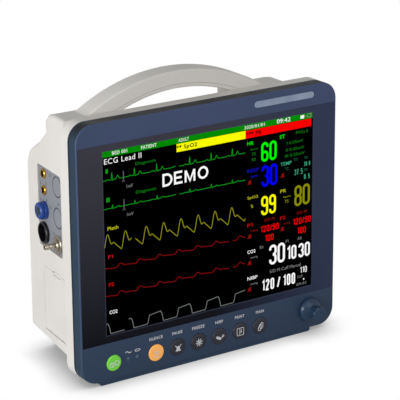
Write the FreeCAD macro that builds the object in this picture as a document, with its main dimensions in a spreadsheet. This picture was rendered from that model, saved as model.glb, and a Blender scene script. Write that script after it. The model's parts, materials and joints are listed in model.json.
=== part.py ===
import FreeCAD
import Part
import math
import os
import Sketcher

# Patient monitor, in millimetres.
# X runs to the viewer's right, Y from the screen to the back, Z up.
# The origin is the centre of the four threaded inserts in the underside.

DIMENSIONS = [
    # casing
    ("case_width", 303.0),
    ("case_height", 260.0),
    ("case_corner", 18.0),
    ("wall", 3.0),
    ("face_y", -74.0),
    ("bezel_depth", 15.0),
    ("rim_depth", 15.0),
    ("face_wall", 4.0),
    ("face_edge", 1.2),
    ("side_half_width", 151.0),
    ("side_taper", 5.69),
    ("rail_left", -131.0),
    ("rail_right", 122.0),
    ("rail_drop", 4.0),
    # block behind the rim
    ("pillar_top_z", 259.0),
    ("pillar_rear_y", -2.5),
    ("pillar_left_inner_x", -80.5),
    ("pillar_right_inner_x", 43.7),
    ("pad_rear_y", -20.0),
    ("pad_step", 20.0),
    ("pillar_right_outer_x", 108.0),
    ("shoulder_z", 237.6),
    ("slope_middle_y", 14.0),
    ("slope_middle_z", 224.8),
    ("slope_rear_y", 45.5),
    ("slope_rear_z", 206.3),
    ("rear_low_y", 48.0),
    ("side_edge_front_z", 20.2),
    ("side_edge_rear_z", 26.4),
    ("slope_round", 24.0),
    ("rear_round", 4.0),
    ("cavity_corner", 12.0),
    # screen
    ("glass_half_width", 150.0),
    ("glass_low_z", 39.0),
    ("glass_high_z", 238.4),
    ("glass_thick", 1.1),
    ("glass_recess", 2.4),
    ("screen_width", 246.0),
    ("screen_height", 184.5),
    ("screen_low_z", 47.0),
    ("lcd_width", 279.0),
    ("lcd_height", 209.0),
    ("lcd_thick", 8.0),
    # alarm light
    ("alarm_left", 51.1),
    ("alarm_right", 123.7),
    ("alarm_z", 249.9),
    ("alarm_height", 6.8),
    # keys
    ("key_radius", 8.6),
    ("power_radius", 8.1),
    ("key_gap", 0.25),
    ("key_proud", 1.3),
    ("key_travel", 1.0),
    ("key_z", 16.6),
    ("key_first_x", -67.2),
    ("key_pitch", 25.0),
    ("power_x", -115.8),
    ("power_z", 17.4),
    ("lamp_radius", 2.0),
    ("lamp_z", 17.6),
    ("lamp_first_x", -99.2),
    ("lamp_pitch", 10.3),
    # knob and encoder
    ("knob_x", 120.0),
    ("knob_z", 21.0),
    ("knob_radius", 13.0),
    ("knob_cap_radius", 8.0),
    ("knob_proud", 19.5),
    ("shaft_radius", 3.0),
    # handle
    ("handle_x", -18.4),
    ("handle_outer_radius", 191.6),
    ("handle_outer_apex_z", 289.0),
    ("handle_inner_radius", 169.2),
    ("handle_inner_apex_z", 270.9),
    ("handle_front_y", -43.8),
    ("handle_depth", 23.5),
    ("grip_thick", 3.8),
    # connector panel, measured along the left side from the face
    ("panel_front_u", 38.8),
    ("panel_rear_u", 94.2),
    ("panel_low_z", 119.0),
    ("panel_high_z", 201.6),
    ("panel_sink", 1.2),
    ("jack_radius", 3.2),
    # battery door
    ("door_front_u", 33.3),
    ("door_rear_u", 85.4),
    ("door_low_z", 31.0),
    ("door_high_z", 98.3),
    ("door_thick", 2.4),
    ("barrel_radius", 2.0),
    # recorder, on the right side
    ("recorder_front_u", 36.0),
    ("recorder_rear_u", 100.0),
    ("recorder_low_z", 92.0),
    ("recorder_high_z", 166.0),
    ("paper_radius", 18.0),
    ("platen_radius", 5.0),
    ("gear_module", 0.5),
    ("platen_teeth", 28.0),
    ("pinion_teeth", 14.0),
    # underside
    ("bolt_spacing", 75.0),
    ("bolt_radius", 2.1),
    ("foot_height", 4.0),
]

doc = FreeCAD.newDocument("patient_monitor")
sheet = doc.addObject("Spreadsheet::Sheet", "dims")
nodes = {}


class Size:
    """A length known both as a number and as an expression of the spreadsheet."""

    def __init__(self, text, value):
        self.text = text
        self.value = value

    def __add__(self, other):
        return joined(self, "+", other, self.value + number(other))

    def __radd__(self, other):
        return joined(other, "+", self, number(other) + self.value)

    def __sub__(self, other):
        return joined(self, "-", other, self.value - number(other))

    def __rsub__(self, other):
        return joined(other, "-", self, number(other) - self.value)

    def __mul__(self, other):
        return joined(self, "*", other, self.value * number(other))

    def __rmul__(self, other):
        return joined(other, "*", self, number(other) * self.value)

    def __truediv__(self, other):
        return joined(self, "/", other, self.value / number(other))

    def __neg__(self):
        return joined(-1.0, "*", self, -self.value)


def number(thing):
    return thing.value if isinstance(thing, Size) else float(thing)


def size(thing):
    """Turn a plain number into a Size; negative numbers keep their own brackets."""
    if isinstance(thing, Size):
        return thing
    text = "%.6g" % thing
    return Size("(%s)" % text if thing < 0 else text, float(thing))


def joined(left, sign, right, value):
    return Size("(%s %s %s)" % (size(left).text, sign, size(right).text), value)


class Dimensions:
    """Every cell of the spreadsheet, as a Size with the cell's alias for a name."""

    def __init__(self, table):
        for row, (alias, value) in enumerate(table, start=1):
            sheet.set("A%d" % row, alias)
            sheet.set("B%d" % row, "%g" % value)
            sheet.setAlias("B%d" % row, alias)
            setattr(self, alias, Size("dims." + alias, value))


d = Dimensions(DIMENSIONS)
doc.recompute()

# levels that several pieces share
bezel_back = d.face_y + d.bezel_depth
rim_back = bezel_back + d.rim_depth
face_back = d.face_y + d.face_wall
key_stem_end = face_back + 2.5
half_case = d.case_width / 2
screen_middle_z = d.screen_low_z + d.screen_height / 2
taper_tan = math.tan(math.radians(d.side_taper.value))
KEY_NAMES = ("silence_key", "pause_key", "freeze_key", "nibp_key", "print_key", "main_key")
CASE_SCREWS = ((141.5, 8.5), (-141.5, 8.5), (137.0, 249.5), (36.0, 249.5), (-68.0, 249.5))


class Frame:
    """An upright frame turned about Z: where it stands and how far it is turned."""

    def __init__(self, x, y, turn):
        self.x = size(x)
        self.y = size(y)
        self.turn = turn
        self.cos = math.cos(math.radians(turn))
        self.sin = math.sin(math.radians(turn))
        self.rotation = FreeCAD.Rotation(FreeCAD.Vector(0, 0, 1), turn)

    def point(self, along, out, up):
        """World position of a point given along, out of and up this frame."""
        if self.turn == 0:
            return size(along), size(out), size(up)
        x = self.x + size(along) * self.cos - size(out) * self.sin
        y = self.y + size(along) * self.sin + size(out) * self.cos
        return x, y, size(up)


# In the left frame "along" runs back from the face and "out" points away from the left side.
# In the right frame "along" runs forward, so places behind the face are negative.
WORLD = Frame(0, 0, 0)
LEFT = Frame(-d.side_half_width, d.face_y, 90 - d.side_taper.value)
RIGHT = Frame(d.side_half_width, d.face_y, d.side_taper.value - 90)

AXIS_TURNS = {
    "x": FreeCAD.Rotation(FreeCAD.Vector(0, 1, 0), 90),
    "y": FreeCAD.Rotation(FreeCAD.Vector(1, 0, 0), -90),
    "z": FreeCAD.Rotation(),
}


def bind(thing, path, value):
    """Bind a property to the spreadsheet."""
    thing.setExpression(path, size(value).text)


def place(thing, position, rotation):
    x, y, z = position
    thing.Placement = FreeCAD.Placement(FreeCAD.Vector(x.value, y.value, z.value), rotation)
    bind(thing, "Placement.Base.x", x)
    bind(thing, "Placement.Base.y", y)
    bind(thing, "Placement.Base.z", z)


def node(label, thing):
    """Give a sub-part the label that names its file."""
    thing.Label = label
    nodes[label] = thing
    return thing


# ---------------------------------------------------------------- Part primitives

def box(frame, x_range, y_range, z_range):
    """A box between two values on each axis of a frame."""
    thing = doc.addObject("Part::Box", "box")
    spans = (("Length", x_range), ("Width", y_range), ("Height", z_range))
    for name, (low, high) in spans:
        bind(thing, name, size(high) - low)
    place(thing, frame.point(x_range[0], y_range[0], z_range[0]), frame.rotation)
    return thing


def rod(frame, axis, centre, start, end, radius):
    """A cylinder along an axis; centre holds its other two coordinates, in axis order."""
    thing = doc.addObject("Part::Cylinder", "rod")
    bind(thing, "Radius", radius)
    bind(thing, "Height", size(end) - start)
    base = {
        "x": (start, centre[0], centre[1]),
        "y": (centre[0], start, centre[1]),
        "z": (centre[0], centre[1], start),
    }[axis]
    place(thing, frame.point(*base), frame.rotation.multiply(AXIS_TURNS[axis]))
    return thing


def joint(kind, things):
    result = doc.addObject(kind, "joined")
    if kind == "Part::Compound":
        result.Links = things
    else:
        result.Shapes = things
    return result


def fuse(things):
    return things[0] if len(things) == 1 else joint("Part::MultiFuse", things)


def group(things):
    """Separate solids kept as one sub-part."""
    return joint("Part::Compound", things)


def cut(base, tools):
    result = doc.addObject("Part::Cut", "cut")
    result.Base = base
    result.Tool = fuse(tools)
    return result


def tube(frame, axis, centre, start, end, outer, inner):
    """A pipe, cut a little past both ends of its bore."""
    solid = rod(frame, axis, centre, start, end, outer)
    return cut(solid, [rod(frame, axis, centre, size(start) - 1, size(end) + 1, inner)])


# ---------------------------------------------------------------- PartDesign bodies

def new_body(frame=WORLD, at=(0, 0, 0)):
    body = doc.addObject("PartDesign::Body", "body")
    place(body, frame.point(*at), frame.rotation)
    return body


def sketch_on(body, role, offset):
    """A sketch on one of the body's origin planes, moved along the plane's normal."""
    plane = [item for item in body.Origin.OriginFeatures if item.Role == role][0]
    sketch = body.newObject("Sketcher::SketchObject", "sketch")
    sketch.AttachmentSupport = (plane, [""])
    sketch.MapMode = "FlatFace"
    bind(sketch, "AttachmentOffset.Base.z", offset)
    return sketch


def fix(sketch, kind, corner, value):
    """Fix one coordinate of a sketch point from the origin, bound to the sheet."""
    edge, end = corner
    index = sketch.addConstraint(Sketcher.Constraint(kind, -1, 1, edge, end, number(value)))
    bind(sketch, "Constraints[%d]" % index, value)


def fix_radius(sketch, edge, value):
    index = sketch.addConstraint(Sketcher.Constraint("Radius", edge, number(value)))
    bind(sketch, "Constraints[%d]" % index, value)


def polygon(sketch, points):
    """A closed outline through points whose coordinates are all bound."""
    first = sketch.GeometryCount
    count = len(points)
    spots = [FreeCAD.Vector(number(x), number(y), 0) for x, y in points]
    for index in range(count):
        sketch.addGeometry(Part.LineSegment(spots[index], spots[(index + 1) % count]), False)
    for index in range(count):
        following = first + (index + 1) % count
        sketch.addConstraint(Sketcher.Constraint("Coincident", first + index, 2, following, 1))
    for index, (x, y) in enumerate(points):
        fix(sketch, "DistanceX", (first + index, 1), x)
        fix(sketch, "DistanceY", (first + index, 1), y)
    return sketch


def rectangle(sketch, x_range, y_range):
    (left, right), (low, high) = x_range, y_range
    return polygon(sketch, [(left, low), (right, low), (right, high), (left, high)])


def circle(sketch, centre, radius):
    edge = sketch.GeometryCount
    spot = FreeCAD.Vector(number(centre[0]), number(centre[1]), 0)
    sketch.addGeometry(Part.Circle(spot, FreeCAD.Vector(0, 0, 1), number(radius)), False)
    fix(sketch, "DistanceX", (edge, 3), centre[0])
    fix(sketch, "DistanceY", (edge, 3), centre[1])
    fix_radius(sketch, edge, radius)
    return sketch


def feature(body, kind, sketch, length):
    result = body.newObject(kind, "feature")
    result.Profile = sketch
    bind(result, "Length", length)
    return result


def pad(body, sketch, length):
    """Raise a sketch along its normal."""
    return feature(body, "PartDesign::Pad", sketch, length)


def pocket(body, sketch, length):
    """Cut a sketch against its normal, and make sure that something was cut."""
    doc.recompute()
    before = body.Shape.Volume
    result = feature(body, "PartDesign::Pocket", sketch, length)
    doc.recompute()
    if body.Shape.Volume > before - 1e-6:
        raise RuntimeError("a pocket in %s cut nothing" % body.Label)
    return result


def plate_y(outline, y_range, frame=WORLD, at=(0, 0, 0)):
    """A body padded along Y between two depths from an outline drawn in X and Z."""
    body = new_body(frame, at)
    sketch = sketch_on(body, "XZ_Plane", -size(y_range[1]))
    outline(sketch)
    pad(body, sketch, size(y_range[1]) - y_range[0])
    return body


def edges_where(body, test):
    """Names of the body's edges that pass a test of their middle and their extent."""
    doc.recompute()
    names = []
    for index, edge in enumerate(body.Shape.Edges, start=1):
        shape = edge.copy()
        shape.Placement = body.Placement.inverse().multiply(shape.Placement)
        bound = shape.BoundBox
        middle = ((bound.XMin + bound.XMax) / 2, (bound.YMin + bound.YMax) / 2,
                  (bound.ZMin + bound.ZMax) / 2)
        extent = (bound.XLength, bound.YLength, bound.ZLength)
        if test(middle, extent):
            names.append("Edge%d" % index)
    return names


def fillet(body, radius, test):
    """Round the edges that pass a test."""
    names = edges_where(body, test)
    if not names:
        raise RuntimeError("no edge of %s to round" % body.Label)
    base = body.Tip
    result = body.newObject("PartDesign::Fillet", "fillet")
    result.Base = (base, names)
    bind(result, "Radius", radius)
    doc.recompute()
    return result


def upright(extent, axis):
    """True for an edge that runs along one axis only."""
    others = [extent[index] for index in range(3) if index != axis]
    return extent[axis] > 0.1 and max(others) < 1e-3


def rounded_plate(x_range, z_range, y_range, corner, frame=WORLD, edge=None):
    """A plate in X and Z with its four corners rounded, and its outer face edge if asked."""
    body = plate_y(lambda sketch: rectangle(sketch, x_range, z_range), y_range, frame)
    fillet(body, corner, lambda middle, extent: upright(extent, 1))
    if edge is not None:
        side, radius = edge
        level = number(y_range[side])
        fillet(body, radius, lambda middle, extent: extent[1] < 1e-3 and abs(middle[1] - level) < 1e-3)
    return body


def turned(profile, frame=WORLD, at=(0, 0)):
    """A body turned about a line along Y; profile holds radius and y, at is X and Z."""
    body = new_body(frame, (at[0], 0, at[1]))
    sketch = polygon(sketch_on(body, "XY_Plane", 0), profile)
    result = body.newObject("PartDesign::Revolution", "turning")
    result.Profile = sketch
    result.ReferenceAxis = (sketch, ["V_Axis"])
    result.Angle = 360
    return body


# ---------------------------------------------------------------- front

def front_bezel():
    """Face moulding: band above and below the glass, side walls, foot rail, screw bosses."""
    shell = rounded_plate((-half_case, half_case), (0, d.case_height), (d.face_y, bezel_back),
                          d.case_corner, edge=(0, d.face_edge))
    rail = rounded_plate((d.rail_left, d.rail_right), (-d.rail_drop, 6), (d.face_y + 1, bezel_back),
                         2.5)
    inside = rounded_plate((d.wall - half_case, half_case - d.wall), (d.wall, d.case_height - d.wall),
                           (face_back, bezel_back + 1), d.case_corner - d.wall)
    recess = rounded_plate((-d.glass_half_width, d.glass_half_width), (d.glass_low_z, d.glass_high_z),
                           (d.face_y - 1, d.face_y + d.glass_recess), 1.0)
    window = box(WORLD, (-d.screen_width / 2 - 3, d.screen_width / 2 + 3), (d.face_y, face_back + 1),
                 (d.screen_low_z - 3, d.screen_low_z + d.screen_height + 3))
    holes = [rod(WORLD, "y", (x, z), d.face_y - 1, face_back + 1, radius + d.key_gap)
             for _, x, z, radius in key_places()]
    holes += [rod(WORLD, "y", (x, d.lamp_z), d.face_y - 1, face_back + 1, d.lamp_radius + 0.1)
              for x in lamp_places()]
    holes.append(rod(WORLD, "y", (d.knob_x, d.knob_z), d.face_y - 1, face_back + 1, 4.7))
    slot = rounded_plate((d.alarm_left - 0.15, d.alarm_right + 0.15),
                         (d.alarm_z - d.alarm_height / 2 - 0.15, d.alarm_z + d.alarm_height / 2 + 0.15),
                         (d.face_y - 1, face_back + 1), d.alarm_height / 2 + 0.1)
    hollow = cut(fuse([shell, rail]), [inside, recess, window, slot] + holes)
    bosses = [tube(WORLD, "y", place_xz, face_back - 0.5, bezel_back - 0.1, 3.5, 1.6)
              for place_xz in CASE_SCREWS]
    solid_ends = cut(fuse([hollow] + bosses), [rod(WORLD, "y", spot, face_back, bezel_back, 1.6)
                                               for spot in CASE_SCREWS])
    return node("front_bezel", solid_ends)


def front_glass():
    """Cover glass, flush with the face."""
    return node("front_glass", rounded_plate(
        (0.1 - d.glass_half_width, d.glass_half_width - 0.1), (d.glass_low_z + 0.1, d.glass_high_z - 0.1),
        (d.face_y, d.face_y + d.glass_thick), 0.9))


def glass_gasket():
    """Adhesive foam frame that holds the glass to the bezel's ledge."""
    outer = rounded_plate((1 - d.glass_half_width, d.glass_half_width - 1),
                          (d.glass_low_z + 1, d.glass_high_z - 1),
                          (d.face_y + d.glass_thick, d.face_y + d.glass_recess), 1.0)
    opening = box(WORLD, (-d.screen_width / 2 - 3, d.screen_width / 2 + 3),
                  (d.face_y, d.face_y + 4), (d.screen_low_z - 3, d.screen_low_z + d.screen_height + 3))
    return node("glass_gasket", cut(outer, [opening]))


def lcd_panel():
    """Display module: steel frame with the display cell standing forward to the glass."""
    front = face_back + 0.2
    low_z = screen_middle_z - d.lcd_height / 2
    case = box(WORLD, (-d.lcd_width / 2, d.lcd_width / 2), (front, front + d.lcd_thick),
               (low_z, low_z + d.lcd_height))
    cell = box(WORLD, (-d.screen_width / 2 - 1, d.screen_width / 2 + 1),
               (d.face_y + d.glass_thick + 0.25, front + 1),
               (d.screen_low_z - 1, d.screen_low_z + d.screen_height + 1))
    return node("lcd_panel", fuse([case, cell]))


def lcd_bracket():
    """Folded steel frame that clamps the display from behind."""
    front = face_back + 0.2 + d.lcd_thick
    sheet_metal = box(WORLD, (-142, 142), (front, front + 1.2), (31.5, 245))
    opening = box(WORLD, (-110, 110), (front - 1, front + 3), (60, 218))
    flanges = [box(WORLD, (x, x + 1.2), (front, front + 7), (50, 225)) for x in (-142, 140.8)]
    return node("lcd_bracket", fuse([cut(sheet_metal, [opening])] + flanges))


def alarm_lens():
    """Light bar with round ends and a hidden flange behind the face."""
    half = d.alarm_height / 2
    bar = rounded_plate((d.alarm_left, d.alarm_right), (d.alarm_z - half, d.alarm_z + half),
                        (d.face_y - 0.5, face_back + 1), half - 0.05, edge=(0, 0.6))
    flange = box(WORLD, (d.alarm_left - 2, d.alarm_right + 2), (face_back + 0.1, face_back + 1.2),
                 (d.alarm_z - half - 1.2, d.alarm_z + half + 1.2))
    return node("alarm_lens", fuse([bar, flange]))


def alarm_led_board():
    """Circuit board with a row of lamps behind the light bar."""
    board = box(WORLD, (d.alarm_left, d.alarm_right), (face_back + 4, face_back + 5.6),
                (d.alarm_z - 4, d.alarm_z + 4))
    lamps = [box(WORLD, (d.alarm_left + 5 + 10 * index, d.alarm_left + 9 + 10 * index),
                 (face_back + 2.2, face_back + 4.5), (d.alarm_z - 1.6, d.alarm_z + 1.6))
             for index in range(7)]
    return node("alarm_led_board", fuse([board] + lamps))


def key_places():
    """Name, X, Z and radius of every key."""
    row = [(name, d.key_first_x + d.key_pitch * index, d.key_z, d.key_radius)
           for index, name in enumerate(KEY_NAMES)]
    return [("power_key", d.power_x, d.power_z, d.power_radius)] + row


def keys():
    """Round caps with a retaining flange behind the face and a stem to the switch."""
    tip = d.face_y - d.key_proud
    for name, x, z, radius in key_places():
        node(name, turned([
            (0, tip), (radius - 1.6, tip + 0.1), (radius - 0.5, tip + 0.45), (radius, tip + 1.0),
            (radius, face_back + 0.1), (radius + 1.4, face_back + 0.1),
            (radius + 1.4, face_back + 1.3), (2.5, face_back + 1.3), (2.5, key_stem_end),
            (0, key_stem_end)], at=(x, z)))


def lamp_places():
    return [d.lamp_first_x + d.lamp_pitch * index for index in range(2)]


def indicator_lenses():
    """Two small light pipes for the mains and battery lamps."""
    pipes = [turned([(0, d.face_y - 0.35), (d.lamp_radius * 0.6, d.face_y - 0.2),
                     (d.lamp_radius, d.face_y + 0.2), (d.lamp_radius, face_back + 0.1),
                     (d.lamp_radius + 1, face_back + 0.1), (d.lamp_radius + 1, face_back + 1),
                     (d.lamp_radius, face_back + 1), (d.lamp_radius, face_back + 6.8),
                     (0, face_back + 6.8)], at=(x, d.lamp_z))
             for x in lamp_places()]
    return node("indicator_lenses", group(pipes))


def key_board():
    """Circuit board behind the keys and the knob."""
    front = face_back + 7
    return node("key_board", box(WORLD, (-128, 131), (front, front + 1.6), (5, 29)))


def key_switches():
    """Tact switches, one behind each key; the plunger stands clear of the pressed key."""
    front = key_stem_end + d.key_travel + 0.1
    return node("key_switches", group([
        fuse([box(WORLD, (x - 3, x + 3), (front + 1.2, face_back + 7), (z - 3, z + 3)),
              rod(WORLD, "y", (x, z), front, face_back + 6, 1.6)])
        for _, x, z, _ in key_places()]))


def encoder():
    """Push encoder: fixed housing, turning rotor, and the shaft that turns and pushes."""
    centre = (d.knob_x, d.knob_z)
    front = face_back + 0.2
    back = face_back + 7
    case = box(WORLD, (d.knob_x - 7, d.knob_x + 7), (front, back), (d.knob_z - 7, d.knob_z + 7))
    bush = rod(WORLD, "y", centre, d.face_y - 0.2, front + 1, 4.5)
    bores = [rod(WORLD, "y", centre, d.face_y - 1, back + 1, d.shaft_radius + 0.08),
             rod(WORLD, "y", centre, front + 1.2, back + 1, 5.8)]
    node("encoder_housing", cut(fuse([case, bush]), bores))
    node("encoder_rotor", tube(WORLD, "y", centre, front + 1.4, back - 0.8, 5.72, d.shaft_radius + 0.05))
    node("encoder_shaft", rod(WORLD, "y", centre, d.face_y - d.knob_proud + 3, back - 0.9, d.shaft_radius))


def knob():
    """Domed skirt, narrow neck and a fluted grip, with a blind bore for the shaft."""
    skirt = d.face_y - 0.9
    tip = d.face_y - d.knob_proud
    body = turned([
        (d.shaft_radius, skirt), (d.knob_radius - 0.6, skirt), (d.knob_radius, skirt - 0.8),
        (d.knob_radius - 0.3, skirt - 2.6), (d.knob_radius - 1.6, skirt - 4.6),
        (d.knob_radius - 4.0, skirt - 6.2), (d.knob_cap_radius - 1.5, skirt - 7.2),
        (d.knob_cap_radius - 1.8, skirt - 9.5), (d.knob_cap_radius - 0.7, tip + 5.0),
        (d.knob_cap_radius, tip + 1.6), (d.knob_cap_radius - 0.4, tip + 0.5),
        (d.knob_cap_radius - 1.6, tip), (0, tip), (0, tip + 3), (d.shaft_radius, tip + 3)],
        at=(d.knob_x, d.knob_z))
    sketch = circle(sketch_on(body, "XZ_Plane", -tip + 1), (d.knob_cap_radius + 0.6, 0), 1.7)
    flute = pocket(body, sketch, 9.4)
    flutes = body.newObject("PartDesign::PolarPattern", "flutes")
    flutes.Originals = [flute]
    plane_axis = [item for item in body.Origin.OriginFeatures if item.Role == "Y_Axis"][0]
    flutes.Axis = (plane_axis, [""])
    flutes.Angle = 360
    flutes.Occurrences = 8
    body.Tip = flutes
    return node("knob", body)


# ---------------------------------------------------------------- rear shell

def wedge_y(wedge, y_range, x_ranges, z_ranges):
    """Bind a wedge that tapers along Y from one rectangle in X and Z to another."""
    values = {"Ymin": y_range[0], "Ymax": y_range[1]}
    for name, ranges in (("X", x_ranges), ("Z", z_ranges)):
        for digit, (low, high) in zip(("", "2"), ranges):
            values[name + digit + "min"] = low
            values[name + digit + "max"] = high
    for name, value in values.items():
        setattr(wedge, name, number(value))
        bind(wedge, name, value)


def tapered_block(inset):
    """The block behind the rim: a tapered wedge with a bevelled foot and the side profile.

    With no inset it is the outside; with the wall as inset it is the cavity."""
    front = rim_back - 2 - inset
    rear = d.rear_low_y + 2 - inset
    halves = [d.side_half_width - (y - d.face_y) * taper_tan for y in (front, rear)]
    body = new_body()
    block = body.newObject("PartDesign::AdditiveWedge", "block")
    wedge_y(block, (front, rear), [(inset - half, half - inset) for half in halves],
            [(inset, d.pillar_top_z - inset)] * 2)
    edge_levels = (d.side_edge_front_z, d.side_edge_rear_z)
    bevels = [(half - level) / math.sqrt(2) - inset for half, level in zip(halves, edge_levels)]
    for angle in (135, -135):
        bevel = body.newObject("PartDesign::SubtractiveWedge", "bevel")
        wedge_y(bevel, (front - 1, rear + 1), [(-d.case_width, d.case_width)] * 2,
                [(depth, d.case_width) for depth in bevels])
        tilt = FreeCAD.Rotation(FreeCAD.Vector(0, 1, 0), angle)
        bevel.Placement = FreeCAD.Placement(FreeCAD.Vector(), tilt)
    low = inset * 0.49
    above = d.case_height + 10
    behind = d.rear_low_y + 20
    flat_end = d.pillar_rear_y - 17.8 - inset
    side = polygon(sketch_on(body, "YZ_Plane", half_case + 10), [
        (flat_end, d.pillar_top_z - inset),
        (d.pillar_rear_y - 7.5 - inset, d.pillar_top_z - 2.4 - inset),
        (d.pillar_rear_y - inset, d.pillar_top_z - 9.2 - inset),
        (d.pillar_rear_y - inset, d.shoulder_z - low),
        (d.slope_middle_y - inset, d.slope_middle_z - low),
        (d.slope_rear_y - inset, d.slope_rear_z - low),
        (d.rear_low_y - inset, d.side_edge_rear_z), (d.rear_low_y - 0.6 - inset, -1),
        (behind, -1), (behind, above), (flat_end, above)])
    pocket(body, side, d.case_width + 20)
    tops = sketch_on(body, "XZ_Plane", -size(rim_back - 10))
    rectangle(tops, (d.pillar_left_inner_x - inset, d.pillar_right_inner_x + inset),
              (d.shoulder_z - inset, above))
    rectangle(tops, (d.pillar_right_outer_x - inset, half_case + 10), (d.shoulder_z - inset, above))
    pocket(body, tops, 120)
    steps = sketch_on(body, "XZ_Plane", inset - d.pad_rear_y)
    rectangle(steps, (d.pillar_left_inner_x - d.pad_step - inset,
                      d.pillar_right_inner_x + d.pad_step + inset), (d.shoulder_z - inset, above))
    pocket(body, steps, 120)
    slope_y = number(d.slope_rear_y - inset)
    fillet(body, d.slope_round - inset, lambda middle, extent: upright(extent, 0)
           and abs(middle[1] - slope_y) < 0.01 and middle[2] > 100)
    return body


def shell_blank():
    """Outside of the rear shell: rim, block with its rounded edges."""
    rim = rounded_plate((-half_case, half_case), (0, d.case_height), (bezel_back, rim_back),
                        d.case_corner, edge=(1, 1.5))
    block = tapered_block(0)
    fillet(block, d.rear_round, block_side_edge)
    return rim, block


def block_side_edge(middle, extent):
    """True for the edges that bound the two sides behind the rim, and the pillar tops."""
    at_side = abs(middle[0]) > 138 and extent[0] < 8
    behind = middle[1] > -43 and middle[2] > 60
    return at_side and behind and max(extent) > 2


def side_frame_box(frame, sign, u_range, out_range, z_range):
    """A box given by distances behind the face; sign is +1 on the left, -1 on the right."""
    along = u_range if sign > 0 else (-size(u_range[1]), -size(u_range[0]))
    return box(frame, along, out_range, z_range)


def rear_shell():
    """Rear moulding with the rim, the pillars under the handle and every opening."""
    rim, block = shell_blank()
    rim_inside = rounded_plate((d.wall - half_case, half_case - d.wall),
                               (d.wall, d.case_height - d.wall), (bezel_back - 1, rim_back - d.wall),
                               d.case_corner - d.wall)
    cavity = tapered_block(d.wall)
    fillet(cavity, d.cavity_corner, lambda middle, extent: middle[0] < -140 and middle[2] > 250
           and extent[1] > 10)
    hollow = cut(fuse([rim, block]), [rim_inside, cavity])
    collar = box(WORLD, (-38, 108), (39.95, d.rear_low_y - 1), (21.5, 62.5))
    bay = side_frame_box(LEFT, 1, (34, 84), (-104, -2), (33, 95))
    hinge_bar = side_frame_box(LEFT, 1, (31, 88), (-6, -2), (d.door_low_z - 2, d.door_low_z + 6))
    bosses = [rod(WORLD, "y", spot, bezel_back + 0.1, rim_back - 1, 4) for spot in CASE_SCREWS]
    bosses += [rod(WORLD, "z", spot, 1, 11, 5.5) for spot in bolt_places()]
    solid = fuse([hollow, bay, hinge_bar, collar] + bosses)
    tools = [side_frame_box(LEFT, 1, (36, 82), (-102, 2), (35, 93))]
    tools += [rod(WORLD, "y", spot, bezel_back - 1, rim_back + 1, 1.7) for spot in CASE_SCREWS]
    tools += [rod(WORLD, "z", spot, -1, 9, 3.0) for spot in bolt_places()]
    tools += panel_opening() + door_pocket() + recorder_opening() + rear_openings()
    tools.append(gasket_ring(0.7, 2.3, bezel_back - 1, bezel_back + 1.3))
    return node("rear_shell", cut(solid, tools))


def gasket_ring(outer, inner, front, back):
    """A flat ring that follows the case outline, between two insets."""
    rings = [rounded_plate((inset - half_case, half_case - inset), (inset, d.case_height - inset),
                           y_range, d.case_corner - inset)
             for inset, y_range in ((outer, (front, back)), (inner, (front - 1, back + 1)))]
    return cut(rings[0], [rings[1]])


def shell_gasket():
    """Rubber seal in the groove between the bezel and the rear shell."""
    return node("shell_gasket", gasket_ring(0.8, 2.2, bezel_back, bezel_back + 1.2))


def bolt_places():
    half = d.bolt_spacing / 2
    return [(half * x, half * y) for x in (-1, 1) for y in (-1, 1)]


def panel_opening():
    return [rounded_plate((d.panel_front_u, d.panel_rear_u), (d.panel_low_z, d.panel_high_z),
                          (-8, 3), 3.0, LEFT)]


def door_pocket():
    """Seat for the battery door with its pin holes and the finger notch above it."""
    seat = side_frame_box(LEFT, 1, (d.door_front_u, d.door_rear_u), (-d.door_thick - 0.1, 2),
                          (d.door_low_z, d.door_high_z))
    barrel = rod(LEFT, "x", door_axis(), d.door_front_u, d.door_rear_u, d.barrel_radius + 0.15)
    pins = rod(LEFT, "x", door_axis(), d.door_front_u - 1.7, d.door_rear_u + 1.7, 1.05)
    notch = rounded_plate((46, 63), (d.door_high_z - 1, d.door_high_z + 1.6), (-1.4, 3), 1.2, LEFT)
    return [seat, barrel, pins, notch]


def door_axis():
    """Out and up place of the battery door's hinge line."""
    return (-d.barrel_radius, d.door_low_z + d.barrel_radius + 0.2)


def recorder_opening():
    return [rounded_plate((-d.recorder_rear_u, -d.recorder_front_u),
                          (d.recorder_low_z, d.recorder_high_z), (-8, 3), 4.0, RIGHT)]


def rear_openings():
    """Window for the sockets, air slots and the speaker holes."""
    y_range = (25, d.rear_low_y + 3)
    window = box(WORLD, (-35, 105), y_range, (24, 60))
    slots = [box(WORLD, (-92 + 8 * index, -88 + 8 * index), y_range, (105, 150)) for index in range(12)]
    slots += [box(WORLD, (x, x + 4), y_range, (75, 92)) for x in range(-92, 100, 8)]
    holes = []
    for ring, count in ((0, 1), (7, 6), (14, 12)):
        for index in range(count):
            angle = 2 * math.pi * index / count
            spot = (62 + ring * math.cos(angle), 165 + ring * math.sin(angle))
            holes.append(rod(WORLD, "y", spot, 25, d.rear_low_y + 3, 1.8))
    return [window] + slots + holes


# ---------------------------------------------------------------- handle

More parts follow.
